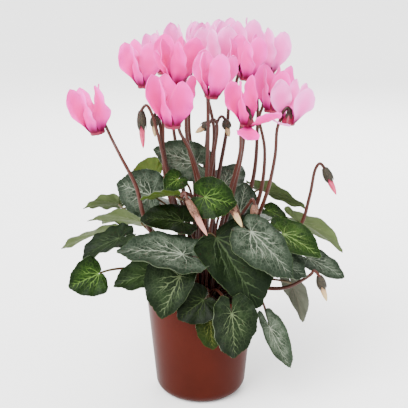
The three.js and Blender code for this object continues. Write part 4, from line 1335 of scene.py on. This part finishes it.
def blade_looks():
    """Face, back and rim of a blade for each of the leaf tones on this plant."""
    silver = blade_face("Silver_blade", (20, 31, 19), (64, 74, 61), (124, 133, 116), (44, 58, 29), 0.14)
    marbled = blade_face("Marbled_blade", (9, 19, 6), (27, 40, 20), (84, 96, 66), (34, 48, 19), 0.1)
    dark = blade_face("Dark_blade", (9, 19, 7), (24, 36, 16), (50, 63, 39), (29, 43, 14), 0.08)
    young = blade_face("Young_blade", (6, 20, 2), (23, 44, 7), (84, 112, 48), (48, 70, 19), 0.1)
    mossy = blade_face("Mossy_blade", (13, 24, 8), (34, 50, 24), (72, 88, 54), (38, 55, 20), 0.1)
    deep = blade_face("Deep_blade", (5, 12, 2), (15, 26, 6), (44, 56, 28), (29, 43, 14), 0.08)
    # Painted light: a lighter copy of the silver face, for blades that lie in shade.
    painted_lit_silver = blade_face("Silver_blade_painted_lighter", (30, 41, 28), (76, 86, 72), (132, 140, 122), (58, 72, 42), 0.14)
    fresh = blade_face("Fresh_blade", (13, 30, 5), (36, 58, 16), (104, 128, 70), (58, 82, 28), 0.1)
    tawny = blade_face("Tawny_blade", (18, 31, 4), (33, 42, 8), (84, 90, 41), (51, 63, 22), 0.15)
    olive = blade_back("Olive_underside", (64, 77, 42), (91, 104, 65), (107, 116, 80))
    green = blade_back("Green_underside", (49, 65, 17), (73, 89, 31), (89, 101, 48))
    brown = blade_back("Brownish_underside", (65, 67, 55), (87, 89, 77), (94, 84, 72))
    pale_rim = blade_rim("Pale_rim", (55, 68, 36))
    green_rim = blade_rim("Green_rim", (41, 58, 17))
    return {
        "silver": (silver, olive, pale_rim),
        "marbled": (marbled, olive, pale_rim),
        "dark": (dark, olive, green_rim),
        "young": (young, green, green_rim),
        "mossy": (mossy, olive, green_rim),
        "deep": (deep, olive, green_rim),
        "painted_lit_silver": (painted_lit_silver, olive, pale_rim),
        "fresh": (fresh, green, green_rim),
        "faded": (dark, brown, pale_rim),
        "tawny": (tawny, green, green_rim),
    }


# The studio.
def studio():
    bpy.ops.mesh.primitive_plane_add(size=FLOOR_SIZE)
    floor = bpy.context.object
    floor.name = "floor"
    finish = Finish("Pale_floor", 0.7)
    cloud = finish.noise(finish.place(), 900, 2)
    dress(floor, finish.coat(finish.blend(cloud, (248, 248, 248), (251, 251, 250))))

    world = bpy.data.worlds.new("Pale_room")
    bpy.context.scene.world = world
    world.use_nodes = True
    world.node_tree.nodes["Background"].inputs["Color"].default_value = (1, 1, 1, 1)
    world.node_tree.nodes["Background"].inputs["Strength"].default_value = ROOM_LIGHT
    bpy.ops.object.light_add(type="SUN", location=SUN_PLACE, rotation=aim_at(SUN_PLACE))
    sun = bpy.context.object
    sun.name = "Key"
    sun.data.energy = SUN_POWER
    sun.data.angle = math.radians(SUN_SPREAD)
    for row in LAMPS:
        lamp(**row)


def aim_at(place):
    return (LIT_POINT - Vector(place)).to_track_quat("-Z", "Y").to_euler()


def lamp(name, place, size, power):
    bpy.ops.object.light_add(type="AREA", location=place, rotation=aim_at(place))
    light = bpy.context.object
    light.name = name
    light.data.shape = "RECTANGLE"
    light.data.size, light.data.size_y = size
    light.data.energy = power


def camera():
    bpy.ops.object.camera_add(location=CAMERA_EYE * MM)
    view = bpy.context.object
    view.rotation_euler = (CAMERA_TARGET - CAMERA_EYE).to_track_quat("-Z", "Y").to_euler()
    view.data.sensor_width = CAMERA_SENSOR
    view.data.lens = CAMERA_LENS
    bpy.context.scene.camera = view


camera()
studio()
pot()
soil()
plant()
